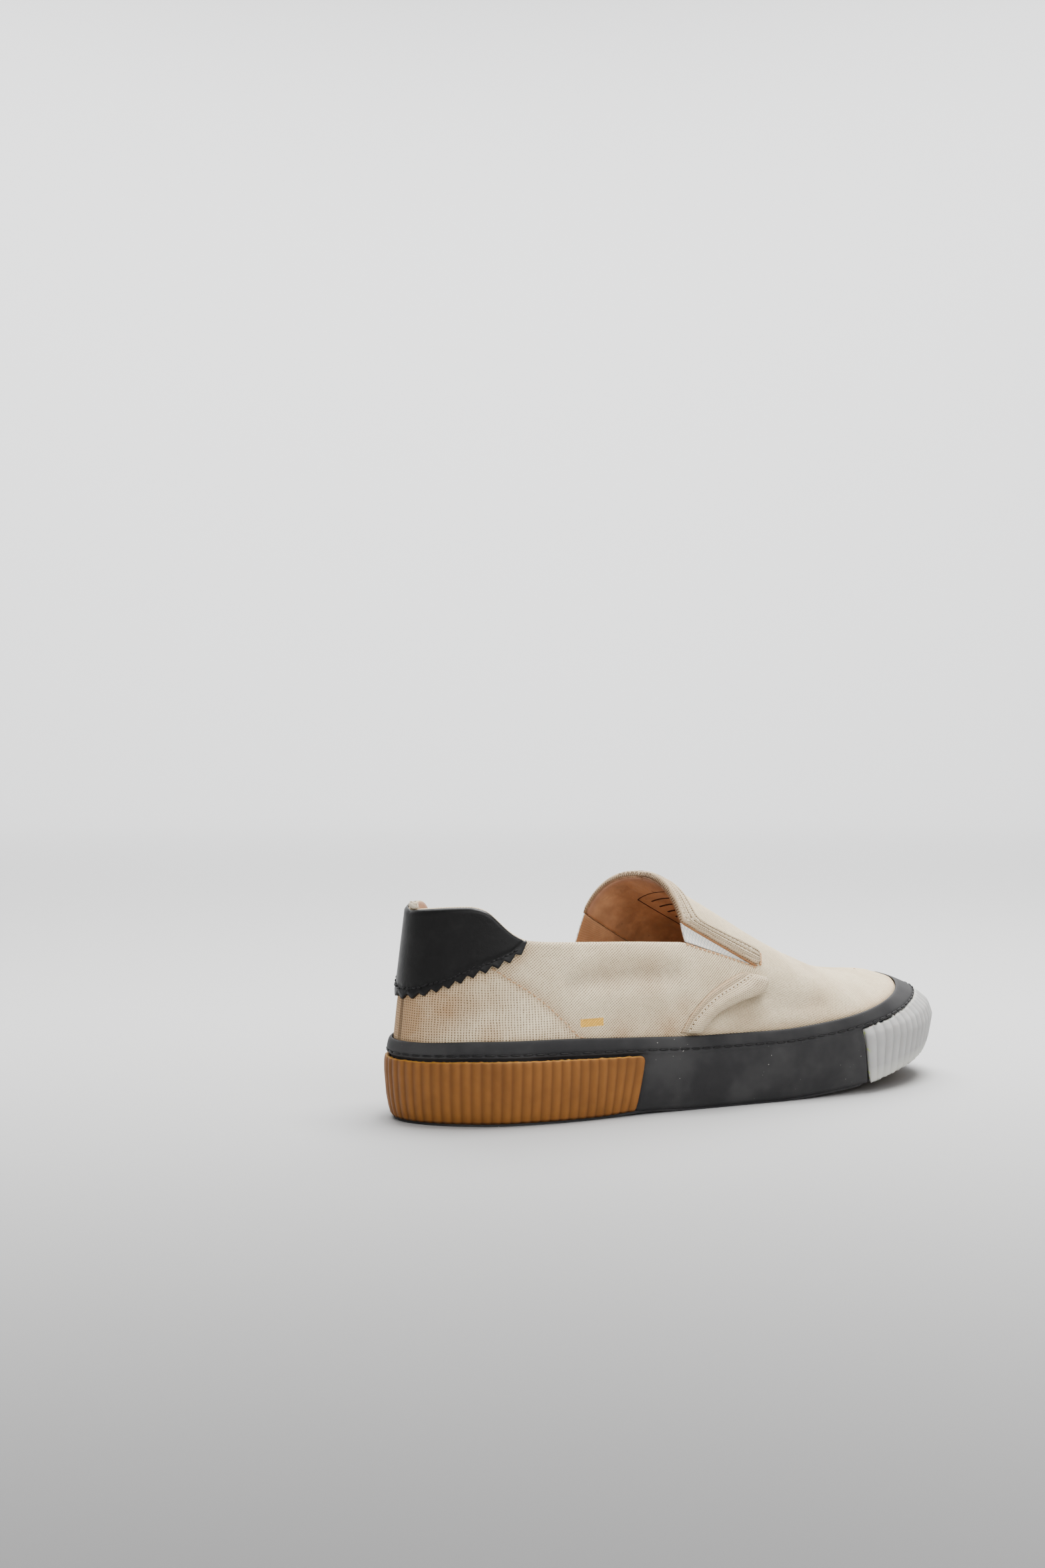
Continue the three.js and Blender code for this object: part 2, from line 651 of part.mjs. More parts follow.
const canvas = paint(0xd8cbb4, 0.95);
const blackRubber = paint(0x222224, 0.6);
const pieces = [
  ['outsole', makeOutsole(), blackRubber],
  ['cupsole', makeCupsole(), blackRubber],
  ['heel_bumper', makeBumper('heel'), paint(0xa8692a, 0.45)],
  ['toe_bumper', makeBumper('toe'), paint(0xd9d9d4, 0.7)],
  ['insole', makeInsole(), paint(0xb87a4a, 0.9)],
  ['upper', makeUpper(), canvas],
  ['heel_tab', makeHeelTab(), paint(0x1a1a1c, 0.45)],
  ['gore_lateral', makeGore('lateral'), paint(0xe6e4dc, 0.9)],
  ['gore_medial', makeGore('medial'), paint(0xe6e4dc, 0.9)],
  ['mouth_band', makeMouthBand(), canvas],
  ['side_band_lateral', makeSideBand('lateral'), canvas],
  ['side_band_medial', makeSideBand('medial'), canvas],
];

const sneaker = new THREE.Group();
pieces.forEach(([name, geometry, material]) => {
  const mesh = new THREE.Mesh(geometry, material);
  mesh.name = name;
  sneaker.add(mesh);
});

// The origin lies on the ground, under the middle of the shoe
const middleOfShoe = new THREE.Box3().setFromObject(sneaker).getCenter(new THREE.Vector3());
sneaker.position.set(-middleOfShoe.x, -middleOfShoe.y, 0);

export default sneaker;
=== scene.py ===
# Slip-on canvas sneaker, right foot: the looks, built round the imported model.
# Sizes are in millimetres in the shoe's own frame: x from the back of the heel to the toe,
# -y the outer (lateral) side, z up from the ground. Meshes are written in metres.
import functools
import math
import random

import bmesh
import bpy
import numpy as np
from mathutils import Matrix, Vector, noise
from mathutils.bvhtree import BVHTree


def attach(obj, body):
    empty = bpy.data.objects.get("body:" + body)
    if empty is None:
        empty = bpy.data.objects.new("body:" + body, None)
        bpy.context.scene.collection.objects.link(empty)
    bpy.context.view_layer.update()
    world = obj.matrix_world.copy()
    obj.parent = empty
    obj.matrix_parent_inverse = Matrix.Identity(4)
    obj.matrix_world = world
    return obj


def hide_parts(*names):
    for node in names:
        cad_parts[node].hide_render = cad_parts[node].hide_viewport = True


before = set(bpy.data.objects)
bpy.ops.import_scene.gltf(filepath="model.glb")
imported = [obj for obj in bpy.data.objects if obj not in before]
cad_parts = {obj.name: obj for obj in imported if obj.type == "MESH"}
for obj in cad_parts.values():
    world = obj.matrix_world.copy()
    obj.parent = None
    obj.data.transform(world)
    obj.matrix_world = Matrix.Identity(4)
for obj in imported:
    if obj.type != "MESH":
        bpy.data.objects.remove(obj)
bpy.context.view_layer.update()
random.seed(4)
print("stage: packed model loaded")

mm = 0.001
heelBack = Vector((-145.0716, 0.0217, 0.0))  # the shoe's own origin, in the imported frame


def metres(point):
    return (Vector(point) + heelBack) * mm


# Camera at shelf height, on the outer side behind the heel, looking towards the toe
cameraSetup = {"at": (-428.6, -801.3, 177.1), "towards": (0.5217, 0.8523, -0.0380), "lens": 50, "film": 36}
cameraData = bpy.data.cameras.new("camera")
cameraData.sensor_fit = "VERTICAL"
cameraData.sensor_height = cameraSetup["film"]
cameraData.lens = cameraSetup["lens"]
cameraData.clip_start = 0.01
camera = bpy.data.objects.new("camera", cameraData)
camera.location = metres(cameraSetup["at"])
camera.rotation_euler = Vector(cameraSetup["towards"]).to_track_quat("-Z", "Y").to_euler()
bpy.context.collection.objects.link(camera)
bpy.context.scene.camera = camera


# A shader socket that takes Python's operators
class Term:
    def __init__(self, paint, socket):
        self.paint = paint
        self.socket = socket

    def maths(self, operation, *others):
        return self.paint.node("Math", {"operation": operation}, dict(enumerate((self,) + others)))

    def __add__(self, other):
        return self.maths("ADD", other)

    def __mul__(self, other):
        return self.maths("MULTIPLY", other)

    def __sub__(self, other):
        return self.maths("SUBTRACT", other)

    def __rsub__(self, other):
        return self.paint.node("Math", {"operation": "SUBTRACT"}, {0: other, 1: self})

    def __truediv__(self, other):
        return self.maths("DIVIDE", other)

    def __pow__(self, other):
        return self.maths("POWER", other)

    def __abs__(self):
        return self.maths("ABSOLUTE")

    __radd__ = __add__
    __rmul__ = __mul__

    def sine(self):
        return self.maths("SINE")

    def most(self, other):
        return self.maths("MAXIMUM", other)

    def least(self, other):
        return self.maths("MINIMUM", other)

    def rise(self, low, high):  # 0 below low, 1 above high, soft between
        feeds = {"Value": self, "From Min": low, "From Max": high}
        return self.paint.node("MapRange", {"interpolation_type": "SMOOTHSTEP"}, feeds)


# A material and its nodes
class Paint:
    def __init__(self, name, fixed):
        self.material = bpy.data.materials.new(name)
        self.material.use_nodes = True
        self.tree = self.material.node_tree
        self.shader = self.tree.nodes["Principled BSDF"]
        for socket, value in fixed.items():
            self.feed(self.shader.inputs[socket], value)

    def feed(self, socket, value):
        if isinstance(value, Term):
            self.tree.links.new(value.socket, socket)
        elif isinstance(value, tuple) and socket.type == "RGBA":
            socket.default_value = value + (1.0,)
        else:
            socket.default_value = value

    def node(self, kind, settings=None, feeds=None, output=0):
        made = self.tree.nodes.new("ShaderNode" + kind)
        for name, value in (settings or {}).items():
            setattr(made, name, value)
        for name, value in (feeds or {}).items():
            self.feed(made.inputs[name], value)
        return Term(self, made.outputs[output])

    def wear(self, **feeds):
        for name, value in feeds.items():
            self.feed(self.shader.inputs[name.replace("_", " ")], value)
        return self.material

    def where(self):
        return self.node("TexCoord", output="Object")

    def cloth(self):
        return self.node("UVMap", {"uv_map": "cloth"})

    def mask(self, name):
        return self.node("Attribute", {"attribute_name": name}, output="Fac")

    def split(self, vector):
        parts = self.node("SeparateXYZ", feeds={"Vector": vector}).socket.node
        return [Term(self, socket) for socket in parts.outputs]

    def grain(self, vector, size, detail=2.0, roughness=0.5):  # size in mm
        feeds = {"Vector": vector, "Scale": 1 / (size * mm), "Detail": detail, "Roughness": roughness}
        return self.node("TexNoise", feeds=feeds)

    def mix(self, factor, first, second):
        return self.node("Mix", {"data_type": "RGBA"}, {0: factor, 6: first, 7: second}, output=2)

    def stretched(self, vector, x=1.0, y=1.0, z=1.0, turn=0.0):
        feeds = {"Vector": vector, "Scale": (x, y, z), "Rotation": (0.0, 0.0, turn)}
        return self.node("Mapping", feeds=feeds)

    def bump(self, height, distance, strength=1.0):  # distance in mm
        return self.node("Bump", feeds={"Height": height, "Distance": distance * mm, "Strength": strength})


# The last, with the same rows as the solids
last = {
    "length": 290.0,
    "ballWidth": 101.5,
    "gap": 0.3,
    "wall": 2.0,
    "toeSpring": 14.8,
    "springFrom": 0.58,
    "archRise": 1.0,
    "archFrom": 0.26,
    "archTo": 0.44,
    "quarterLean": 0.12,
    "throatRow": {"lateral": 4.8, "medial": 4.35},
    "collarDrop": {"lateral": 0.0, "medial": 5.5},
}
# share of the length, outer and inner half width in ball widths, height of the rubber's edge, footbed
footprint = [
    (0.000, -0.056, 0.056, 34.7, 14),
    (0.017, 0.099, 0.200, 35.0, 14),
    (0.090, 0.291, 0.354, 36.2, 14),
    (0.190, 0.379, 0.398, 36.1, 14),
    (0.328, 0.409, 0.375, 34.2, 13),
    (0.448, 0.435, 0.372, 32.7, 12),
    (0.569, 0.472, 0.408, 32.6, 11),
    (0.672, 0.500, 0.465, 34.9, 10),
    (0.759, 0.500, 0.500, 38.0, 9),
    (0.852, 0.425, 0.489, 41.4, 8),
    (0.931, 0.286, 0.406, 44.0, 8),
    (0.979, 0.132, 0.279, 45.3, 8),
    (1.000, -0.095, 0.095, 45.9, 8),
]
lastRow = len(footprint) - 1
# distance in from the widest level and share of the wall's height, at heel, side and toe
wallRows = {
    "low": ((0.9, 0.30), (1.0, 0.30), (1.5, 0.22)),
    "belly": ((0.1, 0.58), (0.1, 0.58), (0.0, 0.47)),
    "round": ((0.1, 0.71), (0.1, 0.69), (2.4, 0.67)),
    "ledge": ((0.5, 0.785), (0.4, 0.765), (8.4, 0.825)),
    "bead": ((0.9, 0.82), (0.9, 0.80), (9.9, 0.855)),
    "groove": ((1.9, 0.84), (1.8, 0.825), (11.2, 0.85)),
    "band": ((1.1, 0.865), (0.9, 0.85), (12.0, 0.885)),
    "brim": ((2.2, 0.98), (1.7, 0.98), (20.6, 0.995)),
    "rim": ((3.8, 1.0), (3.1, 1.0), (22.8, 1.0)),
}
wallFootInset = (2.6, 2.4, 4.6)
cupShoulder = (4.6, 4.3, 12.2)
cupShoulderUp = 0.70
cupFloor = (5.6, 5.4, 7.2)
cupClear = (0.6, 0.6, 2.7)  # room between the cloth and the cup's shoulder
# q runs from -1 at the heel over 0 at the throat to 1 at the toe; place along and height of the ridge
ridge = [
    (-1.00, 40, 118), (-0.50, 74, 113), (-0.20, 104, 106), (0.00, 122, 100), (0.15, 144, 86),
    (0.30, 169, 70), (0.50, 201, 56.2), (0.70, 227, 50.6), (1.00, 249, 48.8),
]
collar = [
    (-1.00, 89.4), (-0.80, 90.6), (-0.64, 91.6), (-0.59, 90.4), (-0.48, 79.4), (-0.44, 77.0),
    (-0.34, 76.0), (-0.19, 74.8), (0.00, 73.0),
]
tabHem = [
    (-1.00, 52.8), (-0.86, 53.6), (-0.72, 57.6), (-0.62, 63.2), (-0.52, 68.0), (-0.475, 71.4),
    (-0.45, 75.0),
]
gore = {"tip": 0.15, "topRear": 81.3, "tipHeight": 60.6}


def lerp(a, b, t):
    return a + (b - a) * t


def clamp01(value):
    return min(max(value, 0.0), 1.0)


def smooth(value, low, high):
    t = clamp01((value - low) / (high - low))
    return t * t * (3 - 2 * t)


def column(rows, number):
    return tuple(row[number] for row in rows)


def curveAt(keys, values, x):  # smooth curve through the rows that never overshoots them
    end = len(keys) - 1
    x = min(max(x, keys[0]), keys[end])
    i = 0
    while i < end - 1 and x > keys[i + 1]:
        i += 1

    def slope(k):
        return (values[k + 1] - values[k]) / (keys[k + 1] - keys[k])

    def tangent(k):
        if k == 0:
            return slope(0)
        if k == end:
            return slope(end - 1)
        before, after = slope(k - 1), slope(k)
        return 0 if before * after <= 0 else 2 * before * after / (before + after)

    width = keys[i + 1] - keys[i]
    t = (x - keys[i]) / width
    value = (2 * t**3 - 3 * t**2 + 1) * values[i] + (t**3 - 2 * t**2 + t) * width * tangent(i)
    return value + (3 * t**2 - 2 * t**3) * values[i + 1] + (t**3 - t**2) * width * tangent(i + 1)


outlinePoints = [(row[0] * last["length"], -row[1] * last["ballWidth"]) for row in footprint]
outlinePoints += [(row[0] * last["length"], row[2] * last["ballWidth"]) for row in footprint[-2:0:-1]]


def outlineAt(turn):  # centripetal curve once round the footprint
    count = len(outlinePoints)
    part, weight = divmod((turn % 1) * count, 1)
    near = [outlinePoints[(int(part) + k) % count] for k in (-1, 0, 1, 2)]
    spans = [math.dist(near[k], near[k + 1]) ** 0.5 for k in range(3)]
    result = []
    for a, b, c, d in zip(*near):
        start = (b - a) / spans[0] - (c - a) / (spans[0] + spans[1]) + (c - b) / spans[1]
        finish = (c - b) / spans[1] - (d - b) / (spans[1] + spans[2]) + (d - c) / spans[2]
        start, finish = start * spans[1], finish * spans[1]
        third, second = 2 * b - 2 * c + start + finish, -3 * b + 3 * c - 2 * start - finish
        result.append(b + start * weight + second * weight**2 + third * weight**3)
    return result


@functools.lru_cache(maxsize=None)
def station(side, row):
    turn = row / (2 * lastRow)
    along = turn if side == "lateral" else (1 - turn) % 1
    x, y = outlineAt(along)
    (x0, y0), (x1, y1) = outlineAt(along - 1e-4), outlineAt(along + 1e-4)
    step = math.hypot(x1 - x0, y1 - y0)
    at = clamp01(x / last["length"])
    numbers = tuple(range(lastRow + 1))
    arch = clamp01((at - last["archFrom"]) / (last["archTo"] - last["archFrom"]))
    spring = clamp01((at - last["springFrom"]) / (1 - last["springFrom"]))
    return {
        "x": x,
        "y": y,
        "outward": ((y1 - y0) / step, -(x1 - x0) / step),
        "rim": curveAt(numbers, column(footprint, 3), row),
        "bed": curveAt(numbers, column(footprint, 4), row),
        "ground": last["archRise"] * math.sin(math.pi * arch) ** 2 + last["toeSpring"] * spring**1.4,
        "heel": clamp01(1 - at / 0.2),
        "toe": clamp01((at - 0.68) / 0.32) ** 1.3,
    }


def blended(spot, triple):
    heel, side, toe = triple
    return lerp(lerp(side, heel, spot["heel"]), toe, spot["toe"])


def inset(spot, distance, height):
    ox, oy = spot["outward"]
    return Vector((spot["x"] - ox * distance, spot["y"] - oy * distance, height))


def wallPoint(spot, name, extra=0.0):
    distance = blended(spot, [entry[0] for entry in wallRows[name]])
    up = blended(spot, [entry[1] for entry in wallRows[name]])
    return inset(spot, distance + extra, lerp(spot["ground"], spot["rim"], up))


def footPoint(spot, extra, height):
    return inset(spot, blended(spot, wallFootInset) + extra, spot["ground"] + height)


def rowOf(side, q):
    throat = last["throatRow"][side]
    return throat * (1 + q) if q < 0 else throat + (lastRow - throat) * q


middleX = tuple(row[0] * last["length"] for row in footprint)
middleY = tuple((row[2] - row[1]) * last["ballWidth"] / 2 for row in footprint)
ridgeQ, ridgeX, ridgeZ = column(ridge, 0), column(ridge, 1), column(ridge, 2)


def middle(x):
    return curveAt(middleX, middleY, x)


@functools.lru_cache(maxsize=None)
def sectionOf(side, q):
    spot = station(side, rowOf(side, q))
    gap = last["gap"]
    clear = blended(spot, cupClear)
    x = curveAt(ridgeQ, ridgeX, q)
    return (
        spot,
        inset(spot, blended(spot, cupFloor) + 2 * gap, spot["ground"] + spot["bed"] + 4 * gap),
        inset(spot, blended(spot, cupShoulder) + clear, lerp(spot["ground"], spot["rim"], cupShoulderUp)),
        gap + blended(spot, [entry[0] for entry in wallRows["rim"]]),
        Vector((x, middle(x), curveAt(ridgeQ, ridgeZ, q))),
    )


def upperPoint(side, q, t):  # t is 0 at the rubber's edge, 1 at the ridge, -1 at the shoulder, -2 at the bed
    spot, floor, shoulder, rimIn, top = sectionOf(side, q)
    foot = inset(spot, rimIn, spot["rim"])
    if t < -1:
        return shoulder.lerp(floor, -1 - t)
    if t < 0:
        return foot.lerp(shoulder, -t)
    angle = t * math.pi / 2
    power = 2 / lerp(2.45, 2.0, clamp01(q / 0.3))
    flat = smooth(q, 0, 0.8)
    up = lerp(math.sin(angle) ** power, 1 - (1 - t) ** 2, flat)
    point = foot.lerp(top, lerp(1 - max(math.cos(angle), 0) ** power, t, flat))
    point.z = lerp(foot.z, top.z, up)
    back = inset(spot, rimIn + last["quarterLean"] * (point.z - foot.z), point.z)
    return back.lerp(point, smooth(q, -0.6, 0.02))


def atHeight(side, q, height):
    low, high = 0.0, 1.0
    for _ in range(26):
        half = (low + high) / 2
        if upperPoint(side, q, half).z < height:
            low = half
        else:
            high = half
    return low


def collarHeight(side, q):
    drop = last["collarDrop"][side] * smooth(q, -0.6, -0.35)
    return curveAt(column(collar, 0), column(collar, 1), q) - drop


def goreBottom(side, q):
    return lerp(collarHeight(side, 0), gore["tipHeight"], clamp01(q / gore["tip"]))


def goreTop(q):
    return lerp(gore["topRear"], gore["tipHeight"], clamp01(q / gore["tip"]))


def quarterTop(side, q):
    if q < 0:
        return atHeight(side, q, collarHeight(side, q))
    return atHeight(side, min(q, gore["tip"]), goreBottom(side, q))


def vampBottom(side, q):
    return atHeight(side, min(q, gore["tip"]), goreTop(q))


def locate(side, x, height):  # q and t of the point of one side at a place along and a height
    low, high = -0.98, 0.7
    for _ in range(22):
        half = (low + high) / 2
        if upperPoint(side, half, atHeight(side, half, height)).x < x:
            low = half
        else:
            high = half
    return low, atHeight(side, low, height)


# Modelling helpers
def activate(*objects):
    if bpy.context.object and bpy.context.object.mode != "OBJECT":
        bpy.ops.object.mode_set(mode="OBJECT")
    bpy.ops.object.select_all(action="DESELECT")
    for thing in objects:
        thing.select_set(True)
    bpy.context.view_layer.objects.active = objects[0]


def meshObject(name, points, faces, uvs=None):  # points in mm in the shoe's frame
    mesh = bpy.data.meshes.new(name)
    mesh.from_pydata([tuple(metres(point)) for point in points], [], faces)
    if uvs is not None:
        layer = mesh.uv_layers.new(name="cloth")
        for loop in mesh.loops:
            layer.data[loop.index].uv = uvs[loop.vertex_index]
    made = bpy.data.objects.new(name, mesh)
    bpy.context.collection.objects.link(made)
    return made


def tidyMesh(thing, recalculate=True):
    activate(thing)
    bpy.ops.object.mode_set(mode="EDIT")
    bpy.ops.mesh.select_all(action="SELECT")
    bpy.ops.mesh.remove_doubles(threshold=0.01 * mm)
    if recalculate:
        bpy.ops.mesh.normals_make_consistent(inside=False)
    bpy.ops.object.mode_set(mode="OBJECT")
    bpy.ops.object.shade_smooth()


def modify(thing, kind, **settings):
    activate(thing)
    modifier = thing.modifiers.new(kind.lower(), kind)
    for name, value in settings.items():
        setattr(modifier, name, value)
    bpy.ops.object.modifier_apply(modifier=modifier.name)


def dress(thing, slot, *materials, replaces=()):
    for material in materials[len(thing.data.materials):]:
        thing.data.materials.append(material)
    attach(thing, "root")
    if replaces:
        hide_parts(*replaces)
    return thing


def gridFaces(across, along, closedAcross=False, closedAlong=False):
    faces = []
    for i in range(across if closedAcross else across - 1):
        for j in range(along if closedAlong else along - 1):
            ahead, up = (i + 1) % across, (j + 1) % along
            faces.append((i * along + j, ahead * along + j, ahead * along + up, i * along + up))
    return faces


def capFaces(ring):  # strips across between the two halves of a ring of vertex numbers
    count = len(ring)
    faces = []
    for i in range(count // 2):
        a, b = ring[i], ring[i + 1]
        c, d = ring[(count - i - 1) % count], ring[(count - i) % count]
        faces.append(list(dict.fromkeys((a, b, c, d))))
    return [face for face in faces if len(face) > 2]


def softened(points, reach):  # cuts each inner corner of a section, so that it can be rounded
    result = [points[0]]
    for before, here, after in zip(points, points[1:], points[2:]):
        for other in (before, after):
            away = other - here
            result.append(here + away * min(reach / max(away.length, 1e-6), 0.4))
    return result + [points[-1]]


def sleeve(name, base, top, bottom):
    # closed strip over a grid of surface points, between heights over that surface, with a cloth map
    grid = np.array([[tuple(point) for point in line] for line in base])
    ahead, across = np.gradient(grid, axis=0), np.gradient(grid, axis=1)
    normal = np.cross(ahead, across)
    normal /= np.maximum(np.linalg.norm(normal, axis=2, keepdims=True), 1e-9)
    middlePoint = grid.reshape(-1, 3).mean(axis=0)
    inside = np.array([middlePoint[0], middle(middlePoint[0]), 25.0])
    facing = (normal * (grid - inside)).sum(axis=2, keepdims=True)
    normal *= np.where(np.median(facing) < 0, -1, 1)
    over = grid + normal * np.array(top)[..., None]
    under = grid + normal * np.array(bottom)[..., None]
    lines = np.concatenate([over, under[:, ::-1]], axis=1)
    count, around = lines.shape[:2]
    run = np.cumsum(np.r_[0, np.linalg.norm(np.diff(grid, axis=0), axis=2).mean(axis=1)])
    rise = np.cumsum(np.r_[0, np.linalg.norm(np.diff(grid, axis=1), axis=2).mean(axis=0)])
    rise = np.r_[rise, rise[::-1]]
    uvs = [(run[i] * mm, rise[j] * mm) for i in range(count) for j in range(around)]
    faces = gridFaces(count, around, closedAlong=True)
    for start in (0, (count - 1) * around):
        finish = start + around - 1
        faces += [(start + j, start + j + 1, finish - 1 - j, finish - j) for j in range(around // 2 - 1)]
    made = meshObject(name, lines.reshape(-1, 3), faces, uvs)
    tidyMesh(made)
    return made


def softEdge(share, reach):  # 0 at the edges of a strip, 1 once in by the reach
    near = min(share, 1 - share) / reach
    return math.sqrt(clamp01(1 - (1 - min(near, 1)) ** 2))


def along(points, spacing):  # places an even distance apart along a path of points
    lengths = [0.0]
    for a, b in zip(points, points[1:]):
        lengths.append(lengths[-1] + (b - a).length)
    count = max(1, round(lengths[-1] / spacing))
    result, part = [], 0
    for k in range(count + 1):
        goal = lengths[-1] * k / count
        while part < len(points) - 2 and lengths[part + 1] < goal:
            part += 1
        span = max(lengths[part + 1] - lengths[part], 1e-9)
        result.append(points[part].lerp(points[part + 1], (goal - lengths[part]) / span))
    return result


def treeOf(thing):
    mesh = thing.data
    points = [vertex.co.copy() for vertex in mesh.vertices]
    return BVHTree.FromPolygons(points, [tuple(face.vertices) for face in mesh.polygons])


def stitches(name, path, tree, look, slot, material):
    # threads laid along a path on a surface; look gives sizes in mm
    activate(camera)
    bpy.ops.mesh.primitive_uv_sphere_add(segments=8, ring_count=6, radius=mm, location=(0, 0, 0))
    thread = bpy.context.object
    thread.scale = (look["length"] / 2, look["width"] / 2, look["height"])
    bpy.ops.object.transform_apply(location=False, rotation=False, scale=True)
    spots = along([metres(point) for point in path], look["pitch"] * mm)
    rows = bmesh.new()
    for here, ahead in zip(spots, spots[1:]):
        centre, normal = tree.find_nearest(here if look.get("joint") else (here + ahead) / 2)[:2]
        if normal is None:
            continue
        forward = (ahead - here).normalized()
        sideways = normal.cross(forward).normalized()
        turn = Matrix((forward, sideways, forward.cross(sideways).normalized())).transposed().to_4x4()
        turn = turn @ Matrix.Rotation(math.radians(random.uniform(-1, 1) * look["twist"]), 4, "Z")
        rise = normal * look["lift"] * mm
        copy = thread.data.copy()
        copy.transform(Matrix.Translation(centre + rise) @ turn)
        rows.from_mesh(copy)
        bpy.data.meshes.remove(copy)
    rows.to_mesh(thread.data)
    rows.free()
    thread.name = name
    thread.data.name = name
    activate(thread)
    bpy.ops.object.shade_smooth()
    return dress(thread, slot, material)


# dark discs on the stitch lines: painted shade of the needle holes
def pinholes(name, path, tree, pitch, slot, size=0.55):
    hole = {"pitch": pitch, "length": size, "width": size, "height": 0.12, "lift": 0.02}
    hole.update({"twist": 0, "joint": True})
    return stitches(name, path, tree, hole, slot, pinhole)


def cord(name, path, radius, slot, material, sides=8):  # round tube along a path in mm
    spots = [Vector(point) for point in path]
    rings = []
    for number, spot in enumerate(spots):
        ahead = spots[min(number + 1, len(spots) - 1)] - spots[max(number - 1, 0)]
        turn = ahead.to_track_quat("Z", "Y").to_matrix()
        size = radius * (0.35 if number in (0, len(spots) - 1) else 1.0)
        for k in range(sides):
            angle = 2 * math.pi * k / sides
            rings.append(spot + turn @ Vector((math.cos(angle) * size, math.sin(angle) * size, 0)))
    faces = gridFaces(len(spots), sides, closedAlong=True)
    faces += [tuple(range(sides)), tuple(range((len(spots) - 1) * sides, len(spots) * sides))]
    made = meshObject(name, rings, faces)
    tidyMesh(made)
    return dress(made, slot, material)


# Studio, in metres: a round paper sweep that rises far behind the shoe, and four soft lights
studio = {
    "flat": 2.2,
    "rise": 0.30,
    "size": 12.0,
    "near": 0.07,  # greys of the paper under the camera, round the shoe and far off: a painted falloff of light, darker towards the camera
    "grey": 0.50,
    "far": 0.88,
    "shelf": (-0.573, -0.801),  # the place under the camera
    "view": (0.522, 0.852),  # the way it looks
    "shadowAt": 0.075,  # painted warm shadow below the shoe
    "shadowReach": (0.066, 0.05),
    "paintedShadow": (0.11, 0.08, 0.055),
}
bpy.ops.object.select_all(action="DESELECT")
bpy.ops.mesh.primitive_grid_add(x_subdivisions=90, y_subdivisions=90, size=studio["size"], location=(0, 0, 0))
sweep = bpy.context.object
sweep.name = "sweep"
for vertex in sweep.data.vertices:
    outwardRun = max(0.0, math.hypot(vertex.co.x, vertex.co.y) - studio["flat"])
    vertex.co.z = studio["rise"] * outwardRun**2
bpy.ops.object.shade_smooth()
paper = Paint("paper", {"Roughness": 0.85, "Specular IOR Level": 0.2})
acrossX, acrossY, _ = paper.split(paper.where())
away = acrossX * studio["view"][0] + acrossY * studio["view"][1]
fromShelf = ((acrossX - studio["shelf"][0]) ** 2 + (acrossY - studio["shelf"][1]) ** 2) ** 0.5
# painted falloff of light: the paper is darker towards the camera and lighter far off
paperColour = paper.mix(fromShelf.rise(0.18, 1.30), (studio["near"],) * 3, (studio["grey"],) * 3)
paperColour = paper.mix(abs(away).rise(0.8, 4.2), paperColour, (studio["far"],) * 3)
# painted warm shadow: the paper is darkened in an ellipse under the shoe
shadowX, shadowY = studio["shadowReach"]
under = ((acrossX - studio["shadowAt"]) / shadowX) ** 2 + (acrossY / shadowY) ** 2
paperColour = paper.mix((1 - under.rise(0.3, 1.1)) * 0.8, paperColour, studio["paintedShadow"])
sweep.data.materials.append(paper.wear(Base_Color=paperColour))

lights = [
    {"name": "key", "at": (0.30, -0.05, 1.30), "size": 0.6, "power": 34, "colour": (1.0, 0.99, 0.97)},
    {"name": "front", "at": (-0.95, -1.15, 1.15), "size": 0.8, "power": 8, "colour": (1.0, 0.99, 0.97)},
    {"name": "side", "at": (-0.05, -1.35, 0.9), "size": 0.8, "power": 13, "colour": (0.99, 0.99, 1.0)},
    {"name": "hall", "at": (1.2, 2.2, 4.2), "size": 4.0, "power": 560, "colour": (0.99, 0.995, 1.0)},
]
for lamp in lights:
    lampData = bpy.data.lights.new(lamp["name"], "AREA")
    lampData.size = lamp["size"]
    lampData.energy = lamp["power"]
    lampData.color = lamp["colour"]
    lampObject = bpy.data.objects.new(lamp["name"], lampData)
    lampObject.location = lamp["at"]
    aim = Vector((0, 0, 0.04)) - Vector(lamp["at"])
    lampObject.rotation_euler = aim.to_track_quat("-Z", "Y").to_euler()
    bpy.context.collection.objects.link(lampObject)
world = bpy.data.worlds.new("studio")
world.use_nodes = True
world.node_tree.nodes["Background"].inputs["Color"].default_value = (0.93, 0.95, 1.0, 1.0)
world.node_tree.nodes["Background"].inputs["Strength"].default_value = 0.05
bpy.context.scene.world = world
print("stage: camera, studio and lights")


# Finishes
def woven(paint, across, alongYarn, wobble=0.17):
    # height of a plain weave on the cloth map and its pinholes, pitches in mm
    cloth = paint.cloth()
    u, v, _ = paint.split(cloth)
    drift = (paint.grain(cloth, 5, 1.0) - 0.5) * (wobble * 4 * mm)
    a = abs(((v - drift) * (math.pi / (across * mm))).sine())
    b = abs(((u + drift) * (math.pi / (alongYarn * mm))).sine())
    return a**0.6 * 0.65 + b**0.6 * 0.35, 1 - a.most(b).rise(0.3, 0.9), a, cloth


canvasLook = {
    "light": (0.85, 0.715, 0.49),
    "dark": (0.72, 0.585, 0.385),
    "hole": (0.12, 0.068, 0.033),
    "stainAndShade": (0.42, 0.235, 0.105),
    "grey": (0.33, 0.265, 0.185),
    "across": 0.95,
    "alongYarn": 0.98,
    "print": (0.80, 0.44, 0.06),
    "printAt": (74.0, 41.6),
    "printHalf": (5.4, 1.5),
}


